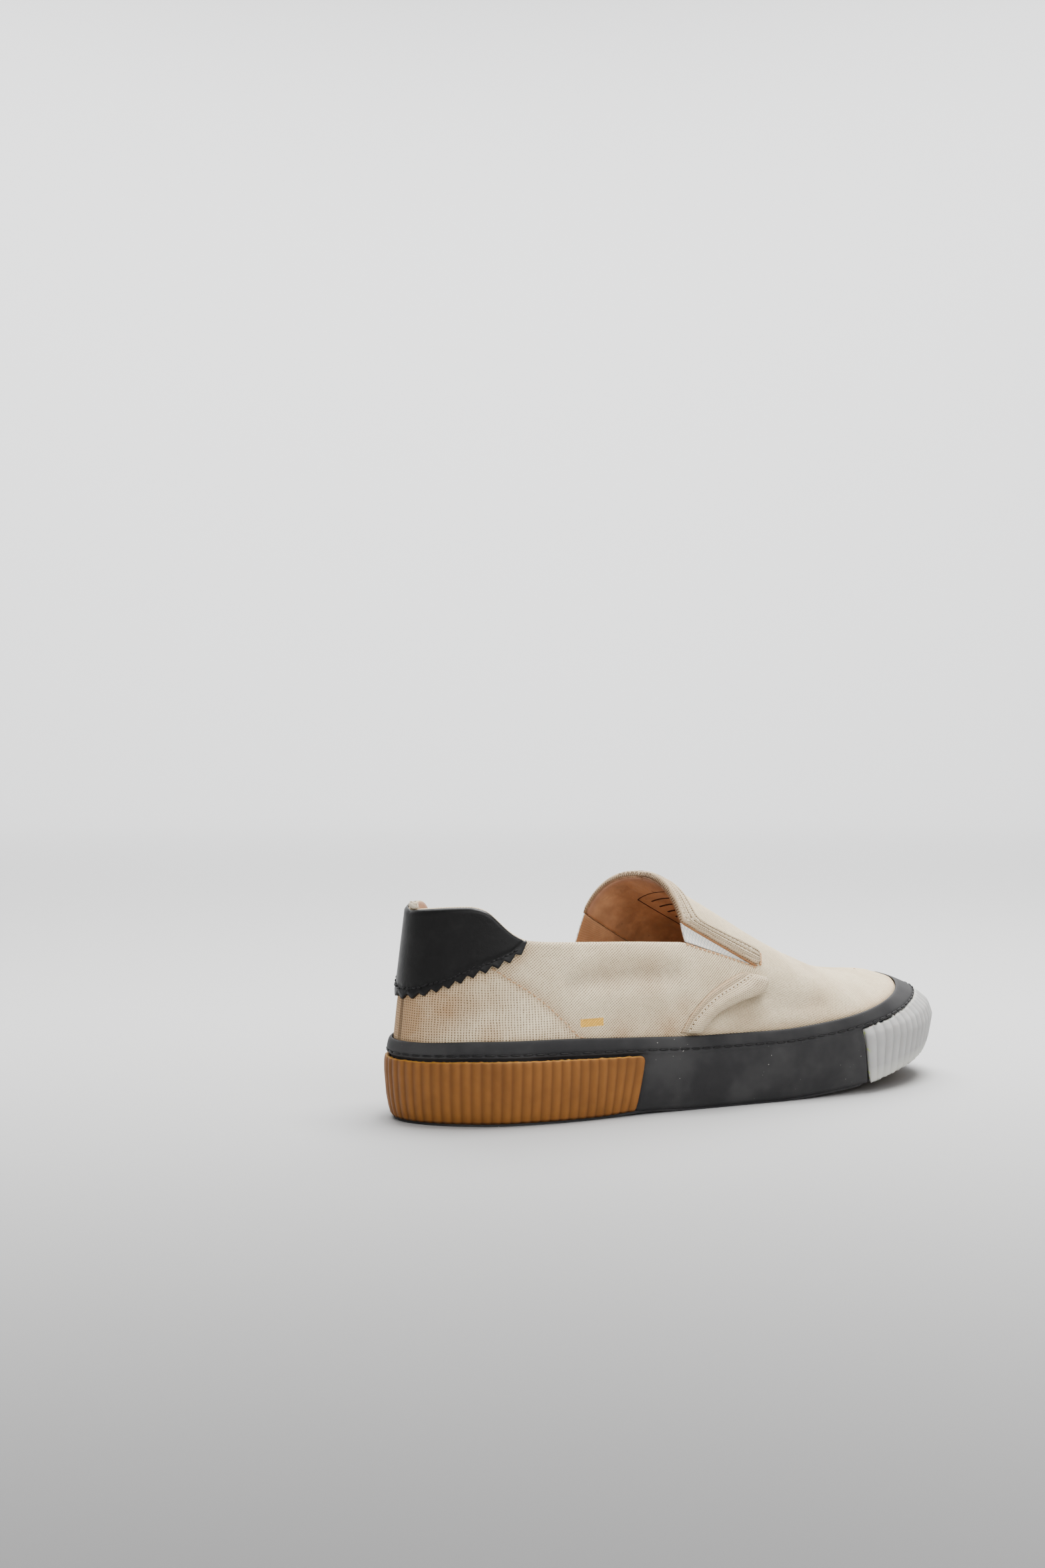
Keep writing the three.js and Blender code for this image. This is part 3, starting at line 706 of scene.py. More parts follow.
def canvasPaint(name, look, printed=False):
    paint = Paint(name, {"Sheen Weight": 0.06, "Sheen Roughness": 0.6, "Specular IOR Level": 0.12})
    weave, holes, yarn, cloth = woven(paint, look["across"], look["alongYarn"])
    spot = paint.where()
    broad = paint.grain(spot, 28, 4.0, 0.6)
    slub = paint.grain(paint.stretched(cloth, x=0.22), 0.9, 2.0)
    fuzz = paint.grain(spot, 0.35, 2.0)
    colour = paint.mix(broad.rise(0.35, 0.65), look["light"], look["dark"])
    colour = paint.mix(slub.rise(0.42, 0.7) * 0.55, colour, look["dark"])
    # stains and painted shade together: the mask also darkens the heel's back, the heel seams and the cloth
    # under the tab's hem
    dirtAndShade = paint.mask("stainAndShade") * (0.45 + 1.3 * paint.grain(spot, 6, 4.0, 0.65))
    colour = paint.mix(dirtAndShade.least(0.85), colour, look["stainAndShade"])
    colour = paint.mix(paint.mask("shade") * 0.6, colour, look["grey"])
    # painted shade between the yarns
    colour = paint.mix((1 - yarn.rise(0.0, 0.75)) * 0.42, colour, look["grey"])
    strength = paint.grain(spot, 1.7, 2.0).rise(0.3, 0.7) * 0.6 + 0.4
    colour = paint.mix((holes * (strength + dirtAndShade * 0.5)).least(0.95), colour, look["hole"])
    roughness = 0.9 - fuzz * 0.1
    metallic = 0.0
    if printed:
        x, y, z = paint.split(spot)
        barX, barZ = (look["printAt"][0] + heelBack.x) * mm, look["printAt"][1] * mm
        halfLong, halfTall = look["printHalf"]
        bar = 1 - abs(x - barX).rise(halfLong * mm, (halfLong + 0.4) * mm)
        bar = bar * (1 - abs(z - barZ).rise(halfTall * mm, (halfTall + 0.4) * mm))
        bar = bar * (1 - y.rise(-0.01, 0.0)) * weave.rise(0.2, 0.5)
        colour = paint.mix(bar, colour, look["print"])
        roughness = roughness - bar * 0.6
        metallic = bar * 0.6
    height = weave * 0.8 + fuzz * 0.35 + slub * 0.15
    normal = paint.bump(height, 0.42)
    return paint.wear(Base_Color=colour, Roughness=roughness, Metallic=metallic, Normal=normal)


liningLook = {
    "light": (0.58, 0.33, 0.17),
    "dark": (0.37, 0.20, 0.098),
    "hole": (0.15, 0.06, 0.022),
    "hem": (0.36, 0.205, 0.14),
    "pitch": 0.62,
}


def liningPaint(name, look):
    paint = Paint(name, {"Sheen Weight": 0.1, "Specular IOR Level": 0.2})
    weave, holes, yarn, _ = woven(paint, look["pitch"], look["pitch"])
    spot = paint.where()
    broad = paint.grain(spot, 16, 4.0, 0.6)
    colour = paint.mix(broad.rise(0.35, 0.68), look["light"], look["dark"])
    colour = paint.mix(paint.mask("hem"), colour, look["hem"])
    # painted shade between the yarns, and the weave's pinholes
    colour = paint.mix((1 - yarn.rise(0.0, 0.6)) * 0.12 + holes * 0.35, colour, look["hole"])
    marks = paint.grain(spot, 3.2, 1.0).rise(0.74, 0.80)
    colour = paint.mix(marks * 0.6, colour, look["hole"])
    height = weave * 0.25 + paint.grain(spot, 5, 3.0) * 1.8
    return paint.wear(Base_Color=colour, Roughness=0.75 + broad * 0.15, Normal=paint.bump(height, 0.35))


leatherLook = {"black": (0.0032, 0.0031, 0.0032), "worn": (0.008, 0.0078, 0.0078)}


def leatherPaint(name, look):
    paint = Paint(name, {"Specular IOR Level": 0.2})
    spot = paint.where()
    cells = paint.node("TexVoronoi", feeds={"Vector": spot, "Scale": 1 / (0.9 * mm)})
    broad = paint.grain(spot, 9, 4.0, 0.6)
    fine = paint.grain(spot, 0.5, 3.0)
    colour = paint.mix(broad.rise(0.45, 0.8) * 0.7, look["black"], look["worn"])
    roughness = 0.30 + broad * 0.16 + fine * 0.06
    height = cells.rise(0.0, 0.5) * 0.1 + fine * 0.25 + broad * 1.6
    return paint.wear(Base_Color=colour, Roughness=roughness, Normal=paint.bump(height, 0.14))


rubberLook = {"black": (0.0225, 0.0222, 0.0232), "dusty": (0.041, 0.0405, 0.041), "speck": (0.30, 0.28, 0.26)}


def rubberPaint(name, look):
    paint = Paint(name, {"Specular IOR Level": 0.09})
    spot = paint.where()
    broad = paint.grain(spot, 26, 3.0, 0.55)
    fine = paint.grain(spot, 0.5, 2.0)
    colour = paint.mix(broad.rise(0.35, 0.75), look["black"], look["dusty"])
    specks = paint.grain(spot, 0.9, 0.0).rise(0.835, 0.87) * paint.grain(spot, 23, 1.0).rise(0.5, 0.66)
    colour = paint.mix(specks, colour, look["speck"])
    roughness = 0.48 + broad * 0.14 + specks * 0.3
    height = fine * 0.3 + broad * 1.2 + specks * 0.6
    return paint.wear(Base_Color=colour, Roughness=roughness, Normal=paint.bump(height, 0.12))


amberLook = {"light": (0.225, 0.088, 0.017), "deep": (0.105, 0.038, 0.007), "edge": (0.42, 0.19, 0.02)}


def amberPaint(name, look):
    paint = Paint(name, {"Specular IOR Level": 0.2, "Subsurface Weight": 0.1, "Subsurface Scale": 0.002})
    spot = paint.where()
    broad = paint.grain(spot, 18, 3.0, 0.6)
    fine = paint.grain(spot, 0.8, 2.0)
    colour = paint.mix(broad.rise(0.3, 0.85) * 0.6, look["light"], look["deep"])
    # painted shade in the rib hollows
    colour = paint.mix(paint.mask("hollow") * 0.75, colour, look["deep"])
    # lighter top edge: mould flash and a painted highlight
    colour = paint.mix(paint.mask("flashAndHighlight"), colour, look["edge"])
    roughness = 0.42 + broad * 0.15 + fine * 0.08
    return paint.wear(Base_Color=colour, Roughness=roughness, Normal=paint.bump(fine * 0.3 + broad, 0.12))


whiteLook = {
    "light": (0.37, 0.365, 0.355),
    "deep": (0.22, 0.217, 0.21),
    "edge": (0.56, 0.56, 0.50),
    "green": (0.30, 0.38, 0.08),
}


def whitePaint(name, look):
    paint = Paint(name, {"Specular IOR Level": 0.35, "Subsurface Weight": 0.06, "Subsurface Scale": 0.001})
    spot = paint.where()
    broad = paint.grain(spot, 14, 3.0, 0.6)
    fine = paint.grain(spot, 0.7, 2.0)
    colour = paint.mix(broad.rise(0.3, 0.8) * 0.5, look["light"], look["deep"])
    # painted shade in the rib hollows
    colour = paint.mix(paint.mask("hollow") * 0.7, colour, look["deep"])
    # lighter edges: mould flash and a painted highlight
    colour = paint.mix(paint.mask("flashAndHighlight") * 0.7, colour, look["edge"])
    bits = paint.mask("seam") * paint.grain(spot, 1.5, 2.0).rise(0.57, 0.66)
    colour = paint.mix(bits, colour, look["green"])
    roughness = 0.55 + broad * 0.12 + fine * 0.08
    return paint.wear(Base_Color=colour, Roughness=roughness, Normal=paint.bump(fine * 0.35 + broad, 0.12))


elasticLook = {"light": (0.90, 0.86, 0.76), "rib": (0.40, 0.46, 0.50), "turn": 40, "pitch": 1.25}


def elasticPaint(name, look):
    paint = Paint(name, {"Sheen Weight": 0.15, "Specular IOR Level": 0.2})
    cloth = paint.stretched(paint.cloth(), turn=math.radians(look["turn"]))
    u, v, _ = paint.split(cloth)
    lines = [abs((k * (math.pi / (look["pitch"] * mm))).sine()) for k in (u, v)]
    net = 1 - lines[0].least(lines[1]).rise(0.05, 0.5)
    fine = paint.grain(paint.where(), 0.4, 2.0)
    colour = paint.mix(net * 0.8, look["light"], look["rib"])
    normal = paint.bump(fine * 0.3 - net * 0.6, 0.2)
    return paint.wear(Base_Color=colour, Roughness=0.85 - fine * 0.1, Normal=normal)


def threadPaint(name, light, dark, gloss):
    paint = Paint(name, {"Specular IOR Level": 0.22})
    twist = paint.grain(paint.where(), 0.35, 2.0)
    colour = paint.mix(twist.rise(0.35, 0.7), light, dark)
    return paint.wear(Base_Color=colour, Roughness=gloss + twist * 0.2, Normal=paint.bump(twist, 0.08))


bandWeave = {"across": 0.80, "alongYarn": 1.1, "light": (0.66, 0.55, 0.38), "dark": (0.55, 0.44, 0.29)}
facingWeave = {"light": (0.34, 0.19, 0.10), "dark": (0.24, 0.125, 0.065)}
canvas = canvasPaint("canvas", canvasLook, printed=True)
bandCanvas = canvasPaint("bandCanvas", {**canvasLook, **bandWeave})
facing = canvasPaint("facing", {**canvasLook, **facingWeave})
lining = liningPaint("lining", liningLook)
leather = leatherPaint("leather", leatherLook)
blackRubber = rubberPaint("blackRubber", rubberLook)
amberRubber = amberPaint("amberRubber", amberLook)
whiteRubber = whitePaint("whiteRubber", whiteLook)
elastic = elasticPaint("elastic", elasticLook)
peachThread = threadPaint("peachThread", (0.60, 0.37, 0.20), (0.42, 0.22, 0.10), 0.7)
creamThread = threadPaint("creamThread", (0.66, 0.58, 0.45), (0.50, 0.42, 0.31), 0.75)
blackThread = threadPaint("blackThread", (0.010, 0.010, 0.0105), (0.003, 0.003, 0.003), 0.45)
rawCloth = threadPaint("rawCloth", (0.36, 0.18, 0.085), (0.22, 0.10, 0.04), 0.8)
# colour of the needle holes: painted shade
pinhole = threadPaint("pinhole", (0.10, 0.06, 0.03), (0.05, 0.03, 0.015), 0.8)
ink = threadPaint("ink", (0.05, 0.022, 0.010), (0.03, 0.012, 0.006), 0.7)
print("stage: finishes")


# Canvas upper: quarters with heel piece, and vamp, as one wall that is lined inside
upperLook = {"behind": 44, "ahead": 60, "rows": 11, "vampRows": 13}
bandMiddle = [(-10.0, 30.0), (-1.4, 33.8), (2.0, 37.4), (7.5, 42.7), (15.8, 48.3), (25.8, 53.0), (34.8, 57.5)]
heelSeam = [(30.0, 67.5), (34.1, 64.4), (48.5, 54.3), (58.5, 45.4), (67.2, 35.8), (70.0, 32.5)]
panels = {"quarter": 0, "vamp": 1}


def throatX(side):
    return station(side, last["throatRow"][side])["x"]


def bandX(side, z):
    return throatX(side) + curveAt(column(bandMiddle, 1), column(bandMiddle, 0), z)


def makeUpper(look):
    shares = [i / look["behind"] - 1 for i in range(look["behind"])]
    shares += [i / look["ahead"] for i in range(look["ahead"] + 1)]
    ringStations = [("lateral", q) for q in shares] + [("medial", q) for q in shares[-2:0:-1]]
    points, uvs, tags = [], [], []
    run, before = 0.0, None
    rowShares = [-2, -1, -0.3] + [j / look["rows"] for j in range(look["rows"] + 1)]
    for side, q in ringStations:
        top = quarterTop(side, q)
        foot = upperPoint(side, q, 0)
        run += 0.0 if before is None else (foot - before).length
        before = foot
        for share in rowShares:
            point = upperPoint(side, q, share if share < 0 else share * top)
            points.append(point)
            uvs.append((run * mm if side == "lateral" else -run * mm, point.z * mm))
    faces = gridFaces(len(ringStations), len(rowShares), closedAcross=True)
    for face in faces:
        centre = sum((points[k] for k in face), Vector()) / 4
        side = "lateral" if centre.y < middle(centre.x) else "medial"
        tags.append(panels["vamp"] if centre.x > bandX(side, centre.z) else panels["quarter"])
    for side in ("lateral", "medial"):
        start = len(points)
        fronts = [q for q in shares if q >= 0]
        for q in fronts:
            low = vampBottom(side, q)
            for j in range(look["vampRows"] + 1):
                points.append(upperPoint(side, q, lerp(low, 1, j / look["vampRows"])))
                uvs.append((0, 0))
        grid = gridFaces(len(fronts), look["vampRows"] + 1)
        grid = [tuple(k + start for k in face) for face in grid]
        faces += grid if side == "lateral" else [face[::-1] for face in grid]
        tags += [panels["vamp"]] * len(grid)
    made = meshObject("canvasUpper", points, faces, uvs)
    layer = made.data.attributes.new("panel", "INT", "FACE")
    layer.data.foreach_set("value", tags)
    tidyMesh(made, recalculate=False)
    return made


def layFlat(thing, panel, start, finish, finer):
    # flat pattern of one panel with its grain from start to finish, in metres over its finer weave
    mesh = thing.data
    activate(thing)
    tags = [entry.value for entry in mesh.attributes["panel"].data]
    bpy.context.tool_settings.mesh_select_mode = (False, False, True)
    bpy.ops.object.mode_set(mode="EDIT")
    bpy.ops.mesh.select_all(action="DESELECT")
    bpy.ops.object.mode_set(mode="OBJECT")
    for face in mesh.polygons:
        face.select = tags[face.index] == panel
    bpy.ops.object.mode_set(mode="EDIT")
    bpy.ops.uv.unwrap(method="ANGLE_BASED", margin=0.001)
    bpy.ops.object.mode_set(mode="OBJECT")
    loops = [k for face in mesh.polygons if tags[face.index] == panel for k in face.loop_indices]
    layer = mesh.uv_layers["cloth"].data
    ends = []
    for goal in (start, finish):
        goal = metres(goal)
        nearest = min(loops, key=lambda k: (mesh.vertices[mesh.loops[k].vertex_index].co - goal).length)
        ends.append((layer[nearest].uv.copy(), mesh.vertices[mesh.loops[nearest].vertex_index].co.copy()))
    (uvA, coA), (uvB, coB) = ends
    size = (coB - coA).length / (uvB - uvA).length
    angle = math.atan2(uvB.y - uvA.y, uvB.x - uvA.x)
    cosine, sine = math.cos(-angle) * size, math.sin(-angle) * size
    for k in loops:
        x, y = layer[k].uv - uvA
        layer[k].uv = ((x * cosine - y * sine) * finer, (x * sine + y * cosine) * finer)


# soft troughs (plus) and ridges (minus) of the cloth: side, places along and heights, depth, width
folds = [
    ("lateral", [(66, 59), (82, 61), (100, 61), (116, 60)], 1.5, 4.5),
    ("lateral", [(70, 68), (90, 69), (112, 67)], -0.8, 5.0),
    ("lateral", [(74, 51), (92, 50), (108, 51)], -0.9, 5.5),
    ("lateral", [(158, 48.5), (148, 45), (136, 42), (129.5, 37), (125, 33)], 1.9, 3.6),
    ("medial", [(151, 48.5), (141, 45), (129, 42), (122.5, 37), (118, 33)], 1.9, 3.6),
    ("lateral", [(20, 40), (22, 50)], 0.5, 5.0),
    ("lateral", [(40, 40), (38, 52)], 0.5, 6.0),
    ("lateral", [(86, 38), (84, 48)], 0.5, 6.0),
    ("lateral", [(104, 38), (101, 47)], 0.45, 5.0),
    ("lateral", [(157, 51), (172, 45), (190, 42)], 0.9, 5.5),
    ("lateral", [(176, 57), (192, 51), (206, 46)], -0.5, 6.0),
    ("lateral", [(146, 40), (160, 40), (176, 38)], 0.5, 5.0),
    ("lateral", [(186, 62), (194, 55), (200, 48)], 0.5, 5.0),
    ("medial", [(70, 56), (90, 57), (108, 55)], 0.8, 5.5),
    ("medial", [(60, 46), (76, 44), (96, 45)], -0.5, 6.0),
    ("medial", [(30, 42), (30, 54)], 0.5, 6.0),
    ("medial", [(150, 52), (166, 46), (184, 43)], 0.9, 5.5),
    ("medial", [(168, 58), (186, 51), (202, 46)], -0.5, 6.0),
    ("medial", [(188, 60), (196, 53), (202, 48)], 0.5, 5.0),
]
# stains of the cloth, the patch at the heel's back partly painted shade: side, place along, height, reach,
# strength
stains = [
    ("lateral", 2, 45, 20, 1.0), ("lateral", 14, 50, 15, 0.7), ("lateral", 22, 50, 9, 0.45),
    ("lateral", 30, 37, 8, 0.5), ("lateral", 70, 36, 7, 0.35), ("lateral", 88, 34, 8, 0.5),
    ("lateral", 112, 36, 7, 0.6), ("lateral", 119, 44, 4.5, 0.35), ("lateral", 104, 60, 7, 0.3),
    ("lateral", 84, 59.5, 7, 0.2), ("lateral", 32, 52, 8, 0.25), ("lateral", 150, 36, 8, 0.2),
    ("lateral", 186, 38, 9, 0.18),
    ("medial", 8, 44, 12, 0.6), ("medial", 60, 36, 10, 0.4), ("medial", 96, 37, 9, 0.6),
    ("medial", 92, 58, 9, 0.3), ("medial", 150, 38, 9, 0.3), ("medial", 200, 42, 9, 0.2),
]


def onUpper(side, x, z):
    return upperPoint(side, *locate(side, x, z))


def shoePoints(thing):  # the mesh's points in mm in the shoe's frame
    flat = np.empty(len(thing.data.vertices) * 3)
    thing.data.vertices.foreach_get("co", flat)
    return flat.reshape(-1, 3) / mm - np.array(heelBack)


def reshape(thing, points):
    thing.data.vertices.foreach_set("co", ((points + np.array(heelBack)) * mm).ravel())
    thing.data.update()


def nearness(points, path):  # least distance to a path
    best = np.full(len(points), 1e9)
    for a, b in zip(path, path[1:]):
        a, b = np.array(a), np.array(b)
        run = b - a
        t = np.clip(((points - a) @ run) / max(run @ run, 1e-9), 0, 1)
        best = np.minimum(best, np.linalg.norm(points - (a + t[:, None] * run), axis=1))
    return best


def paintMask(thing, name, values):
    layer = thing.data.attributes.new(name, "FLOAT", "POINT")
    layer.data.foreach_set("value", np.clip(values, 0, 1).astype(np.float32))


def creaseUpper(thing):
    points = shoePoints(thing)
    outward = points.copy()  # away from a line along the inside of the shoe
    outward[:, 0] -= np.clip(points[:, 0], 42, 236)
    outward[:, 2] -= 26.0
    outward[:, 2] *= np.where(points[:, 0] < 122, 0.0, 1.0)
    outward /= np.maximum(np.linalg.norm(outward, axis=1, keepdims=True), 1e-6)
    shift = np.zeros(len(points))
    for side, places, depth, width in folds:
        path = [onUpper(side, x, z) for x, z in places]
        shift -= depth * np.exp(-((nearness(points, path) / width) ** 2))
    for side in ("lateral", "medial"):
        path = [onUpper(side, x, z) for x, z in heelSeam]
        shift -= 0.55 * np.exp(-((nearness(points, path) / 1.3) ** 2))
    ripple = [noise.noise(Vector(point) / 17) + 0.5 * noise.noise(Vector(point) / 7) for point in points]
    shift += 0.35 * np.array(ripple)
    held = np.clip((points[:, 2] - 36) / 5, 0, 1)  # the rubber holds the cloth below its edge
    reshape(thing, points + outward * (shift * held)[:, None])
    stainAndShade = np.zeros(len(points))
    for side, x, z, reach, strength in stains:
        away = np.linalg.norm(points - np.array(onUpper(side, x, z)), axis=1)
        stainAndShade = np.maximum(stainAndShade, strength * np.exp(-((away / reach) ** 2)))
    for side in ("lateral", "medial"):
        path = [onUpper(side, x, z) for x, z in heelSeam]
        # painted shade along the puckered heel seam
        stainAndShade = np.maximum(stainAndShade, 0.35 * np.exp(-((nearness(points, path) / 2.2) ** 2)))
        rubberLine = [upperPoint(side, i / 20 - 1, 0.0) for i in range(41)]
        stainAndShade = np.maximum(stainAndShade, 0.28 * np.exp(-((nearness(points, rubberLine) / 3.0) ** 2)))
        # darker under the tab's hem: stain and painted shade
        hemLine = [upperPoint(side, q, atHeight(side, q, z - 2)) for q, z in tabHem]
        stainAndShade = np.maximum(stainAndShade, 0.4 * np.exp(-((nearness(points, hemLine) / 3.0) ** 2)))
    paintMask(thing, "stainAndShade", stainAndShade)
    paintMask(thing, "shade", np.clip(-shift / 2, 0, 1) * 0.75)
    rim = []
    for side in ("lateral", "medial"):
        edge = [upperPoint(side, i / 40 - 1, quarterTop(side, i / 40 - 1)) for i in range(41)]
        low = vampBottom(side, 0.0)
        mouth = [upperPoint(side, 0.0, lerp(low, 1, j / 20)) for j in range(21)]
        rim += [nearness(points, edge), nearness(points, mouth)]
    paintMask(thing, "hem", 0.85 * np.exp(-((np.min(rim, axis=0) / 3.2) ** 4)))


heelWeave = {"up": 0.95, "round": 0.74}  # the heel piece's yarns stand upright and are coarser
vampFiner = 1.3
quarterBias = -38  # degrees


def turnQuarters(thing, degrees):
    # the cloth of the quarters lies on the bias ahead of the heel piece
    mesh = thing.data
    layer = mesh.uv_layers["cloth"].data
    seamZ, seamX = column(heelSeam, 1)[::-1], column(heelSeam, 0)[::-1]
    cosine, sine = math.cos(math.radians(degrees)), math.sin(math.radians(degrees))
    tags = [entry.value for entry in mesh.attributes["panel"].data]
    points = shoePoints(thing)
    for face in mesh.polygons:
        if tags[face.index] != panels["quarter"]:
            continue
        x, _, z = points[list(face.vertices)].mean(axis=0)
        ahead = x > curveAt(seamZ, seamX, z) or z > 68
        for k in face.loop_indices:
            u, v = layer[k].uv
            if ahead:
                layer[k].uv = (u * cosine - v * sine, u * sine + v * cosine)
            else:
                layer[k].uv = (v * heelWeave["up"], u * heelWeave["round"])


upper = makeUpper(upperLook)
layFlat(upper, panels["vamp"], upperPoint("lateral", 0.2, 1), upperPoint("lateral", 0.85, 1), vampFiner)
for material in (canvas, lining, bandCanvas, facing):
    upper.data.materials.append(material)
modify(upper, "SOLIDIFY", thickness=last["wall"] * mm, offset=-1, material_offset=1, material_offset_rim=2)
modify(upper, "SUBSURF", levels=1, render_levels=1)
for face in upper.data.polygons:  # the mouth's edge shows the browned facing
    centre = Vector(face.center) / mm - heelBack
    if face.material_index == 2 and centre.x > 105 and centre.z > gore["topRear"] - 1:
        face.material_index = 3
creaseUpper(upper)
turnQuarters(upper, quarterBias)
activate(upper)
bpy.ops.object.shade_smooth()
dress(upper, "canvas", replaces=("upper",))
upperTree = treeOf(upper)
print("stage: canvas upper", len(upper.data.polygons))


# Elastic gores in the notches between quarter and vamp
def makeGore(side, look):
    base = []
    shares = [j / look["rows"] for j in range(look["rows"] + 1)]
    for i in range(look["steps"] + 1):
        q = lerp(0.001, gore["tip"] * look["reach"], i / look["steps"])
        low = atHeight(side, q, goreBottom(side, q) - look["tuck"])
        high = atHeight(side, q, goreTop(q) + look["tuck"])
        base.append([upperPoint(side, q, lerp(low, high, share)) for share in shares])
    sag = [-look["depth"] - look["sag"] * math.sin(math.pi * share) for share in shares]
    under = [value - look["thickness"] for value in sag]
    made = sleeve("gore_" + side + "Elastic", base, [sag] * len(base), [under] * len(base))
    made.data.materials.append(elastic)
    made.data.materials.append(lining)
    outwardY = -1 if side == "lateral" else 1
    for face in made.data.polygons:
        face.material_index = 1 if face.normal.y * outwardY < -0.2 else 0
    return made


goreLook = {
    "steps": 24,
    "rows": 12,
    "reach": 0.97,
    "tuck": -0.1,
    "depth": 0.25,
    "sag": 0.35,
    "thickness": 1.0,
}
for side in ("lateral", "medial"):
    dress(makeGore(side, goreLook), "elastic", replaces=("gore_" + side,))


# Band round the vamp's mouth, in layers held by three rows of stitches
bandLook = {"goreSteps": 22, "throatSteps": 26, "rows": 20, "thickness": 2.2, "corner": 0.040, "rise": 5.2}
bandRows = (0.20, 0.46, 0.74)


def mouthPath(side, share, look):
    # points of one side from the gore's tip to the ridge, at a share of the band's width
    points = []
    steps = look["goreSteps"]
    for i in range(steps):
        inner = lerp(gore["tip"] + 0.012, 0, i / steps)
        outer = lerp(gore["tip"] + 0.032, look["corner"], i / steps)
        height = lerp(gore["tipHeight"], goreTop(look["corner"]), i / steps) + look["rise"]
        a = (inner, atHeight(side, inner, goreTop(inner)))
        b = (outer, atHeight(side, outer, height))
        points.append(upperPoint(side, lerp(a[0], b[0], share), lerp(a[1], b[1], share)))
    innerStart = atHeight(side, 0, gore["topRear"])
    outerStart = atHeight(side, look["corner"], goreTop(look["corner"]) + look["rise"])
    for i in range(look["throatSteps"] + 1):
        k = i / look["throatSteps"]
        t = lerp(lerp(innerStart, 1, k), lerp(outerStart, 1, k), share)
        points.append(upperPoint(side, look["corner"] * share, t))
    return points


def wholeMouth(share, look):
    points = mouthPath("lateral", share, look) + mouthPath("medial", share, look)[-2::-1]
    for _ in range(round(14 * share)):  # the outer rows turn the corner above the gore in a wide curve
        inside = [(a + b * 2 + c) / 4 for a, b, c in zip(points, points[1:], points[2:])]
        points = [points[0]] + inside + [points[-1]]
    return points


def makeMouthBand(look):
    rows = look["rows"]
    lines = list(zip(*[wholeMouth(j / rows, look) for j in range(rows + 1)]))
    base, tops = [], []
    for number, line in enumerate(lines):
        end = softEdge(number / (len(lines) - 1), 0.035)
        reach = lerp(0.45, 1.0, end)
        row, heights = [], []
        for j in range(rows + 1):
            share = j / rows
            part, weight = divmod((0.5 + (share - 0.5) * reach) * rows, 1)
            row.append(line[int(part)].lerp(line[min(int(part) + 1, rows)], weight))
            valleys = sum(math.exp(-(((share - k) / 0.055) ** 2)) for k in bandRows)
            height = 0.2 + (look["thickness"] - 0.2) * softEdge(share, 0.14) - 0.95 * valleys
            heights.append(lerp(0.25, height, end))
        base.append(row)
        tops.append(heights)
    return sleeve("mouthBand", base, tops, [[-0.6] * (rows + 1)] * len(base))


band = makeMouthBand(bandLook)
bandSpots = shoePoints(band)
valleyNear = np.min([nearness(bandSpots, wholeMouth(share, bandLook)) for share in bandRows], axis=0)
innerNear = nearness(bandSpots, wholeMouth(0.0, bandLook))
# darker along the band's inner edge
paintMask(band, "stainAndShade", 0.1 + 0.5 * np.exp(-((innerNear / 1.6) ** 2)))
paintMask(band, "shade", np.exp(-(((valleyNear - 1.2) / 0.6) ** 2)))
dress(band, "canvas", bandCanvas, replaces=("mouth_band",))
bandTree = treeOf(band)
bandStitch = {"pitch": 2.3, "length": 1.6, "width": 0.7, "height": 0.42, "lift": 0.05, "twist": 14}
for number, share in enumerate(bandRows):
    path = [point + Vector((0, 0, 1.5)) for point in wholeMouth(share, bandLook)[3:-3]]
    stitches("mouthStitches" + str(number), path, bandTree, bandStitch, "canvas", creamThread)
    if number > 0:
        pinholes("mouthHoles" + str(number), path, bandTree, bandStitch["pitch"], "canvas", 0.7)
tackStitch = {"pitch": 1.1, "length": 1.5, "width": 1.3, "height": 0.7, "lift": 0.2, "twist": 60}
for side in ("lateral", "medial"):
    goreEdge = mouthPath(side, 0.0, bandLook)[1:bandLook["goreSteps"] + 1]
    rawPath = [point - Vector((0, 0, 0.2)) for point in goreEdge]
    cord("rawEdge_" + side, rawPath, 0.5, "canvas", rawCloth)
    tipRows = [mouthPath(side, share, bandLook)[0] for share in (0.0, 0.3, 0.6, 0.9)]
    stitches("tack_" + side, tipRows, upperTree, tackStitch, "canvas", peachThread)


# Puffed side bands from the gore's tip down to the rubber, stitched flat along their rear edge
# row number; place ahead of the throat and height, for the rear edge and for the front edge
sideBandRows = [
    (0, 29, 59.0, 41.5, 54.6), (1, 20, 55.8, 36, 48.6), (2, 9.5, 50.4, 23, 45.4),
    (3, 2, 44, 11.8, 41.2), (4, -3, 38, 6.4, 36.4), (5, -5.5, 34, 2.8, 33.2),
]
sideBandLook = {"steps": 40, "rows": 22, "puff": 4.6, "stitched": 0.2}


def sideBandPoint(side, at, share):  # share is 0 at the rear edge
    keys = column(sideBandRows, 0)
    rearX, rearZ, frontX, frontZ = [curveAt(keys, column(sideBandRows, k), at) for k in (1, 2, 3, 4)]
    x = throatX(side)
    rear, front = locate(side, x + rearX, rearZ), locate(side, x + frontX, frontZ)
    return upperPoint(side, lerp(rear[0], front[0], share), lerp(rear[1], front[1], share))


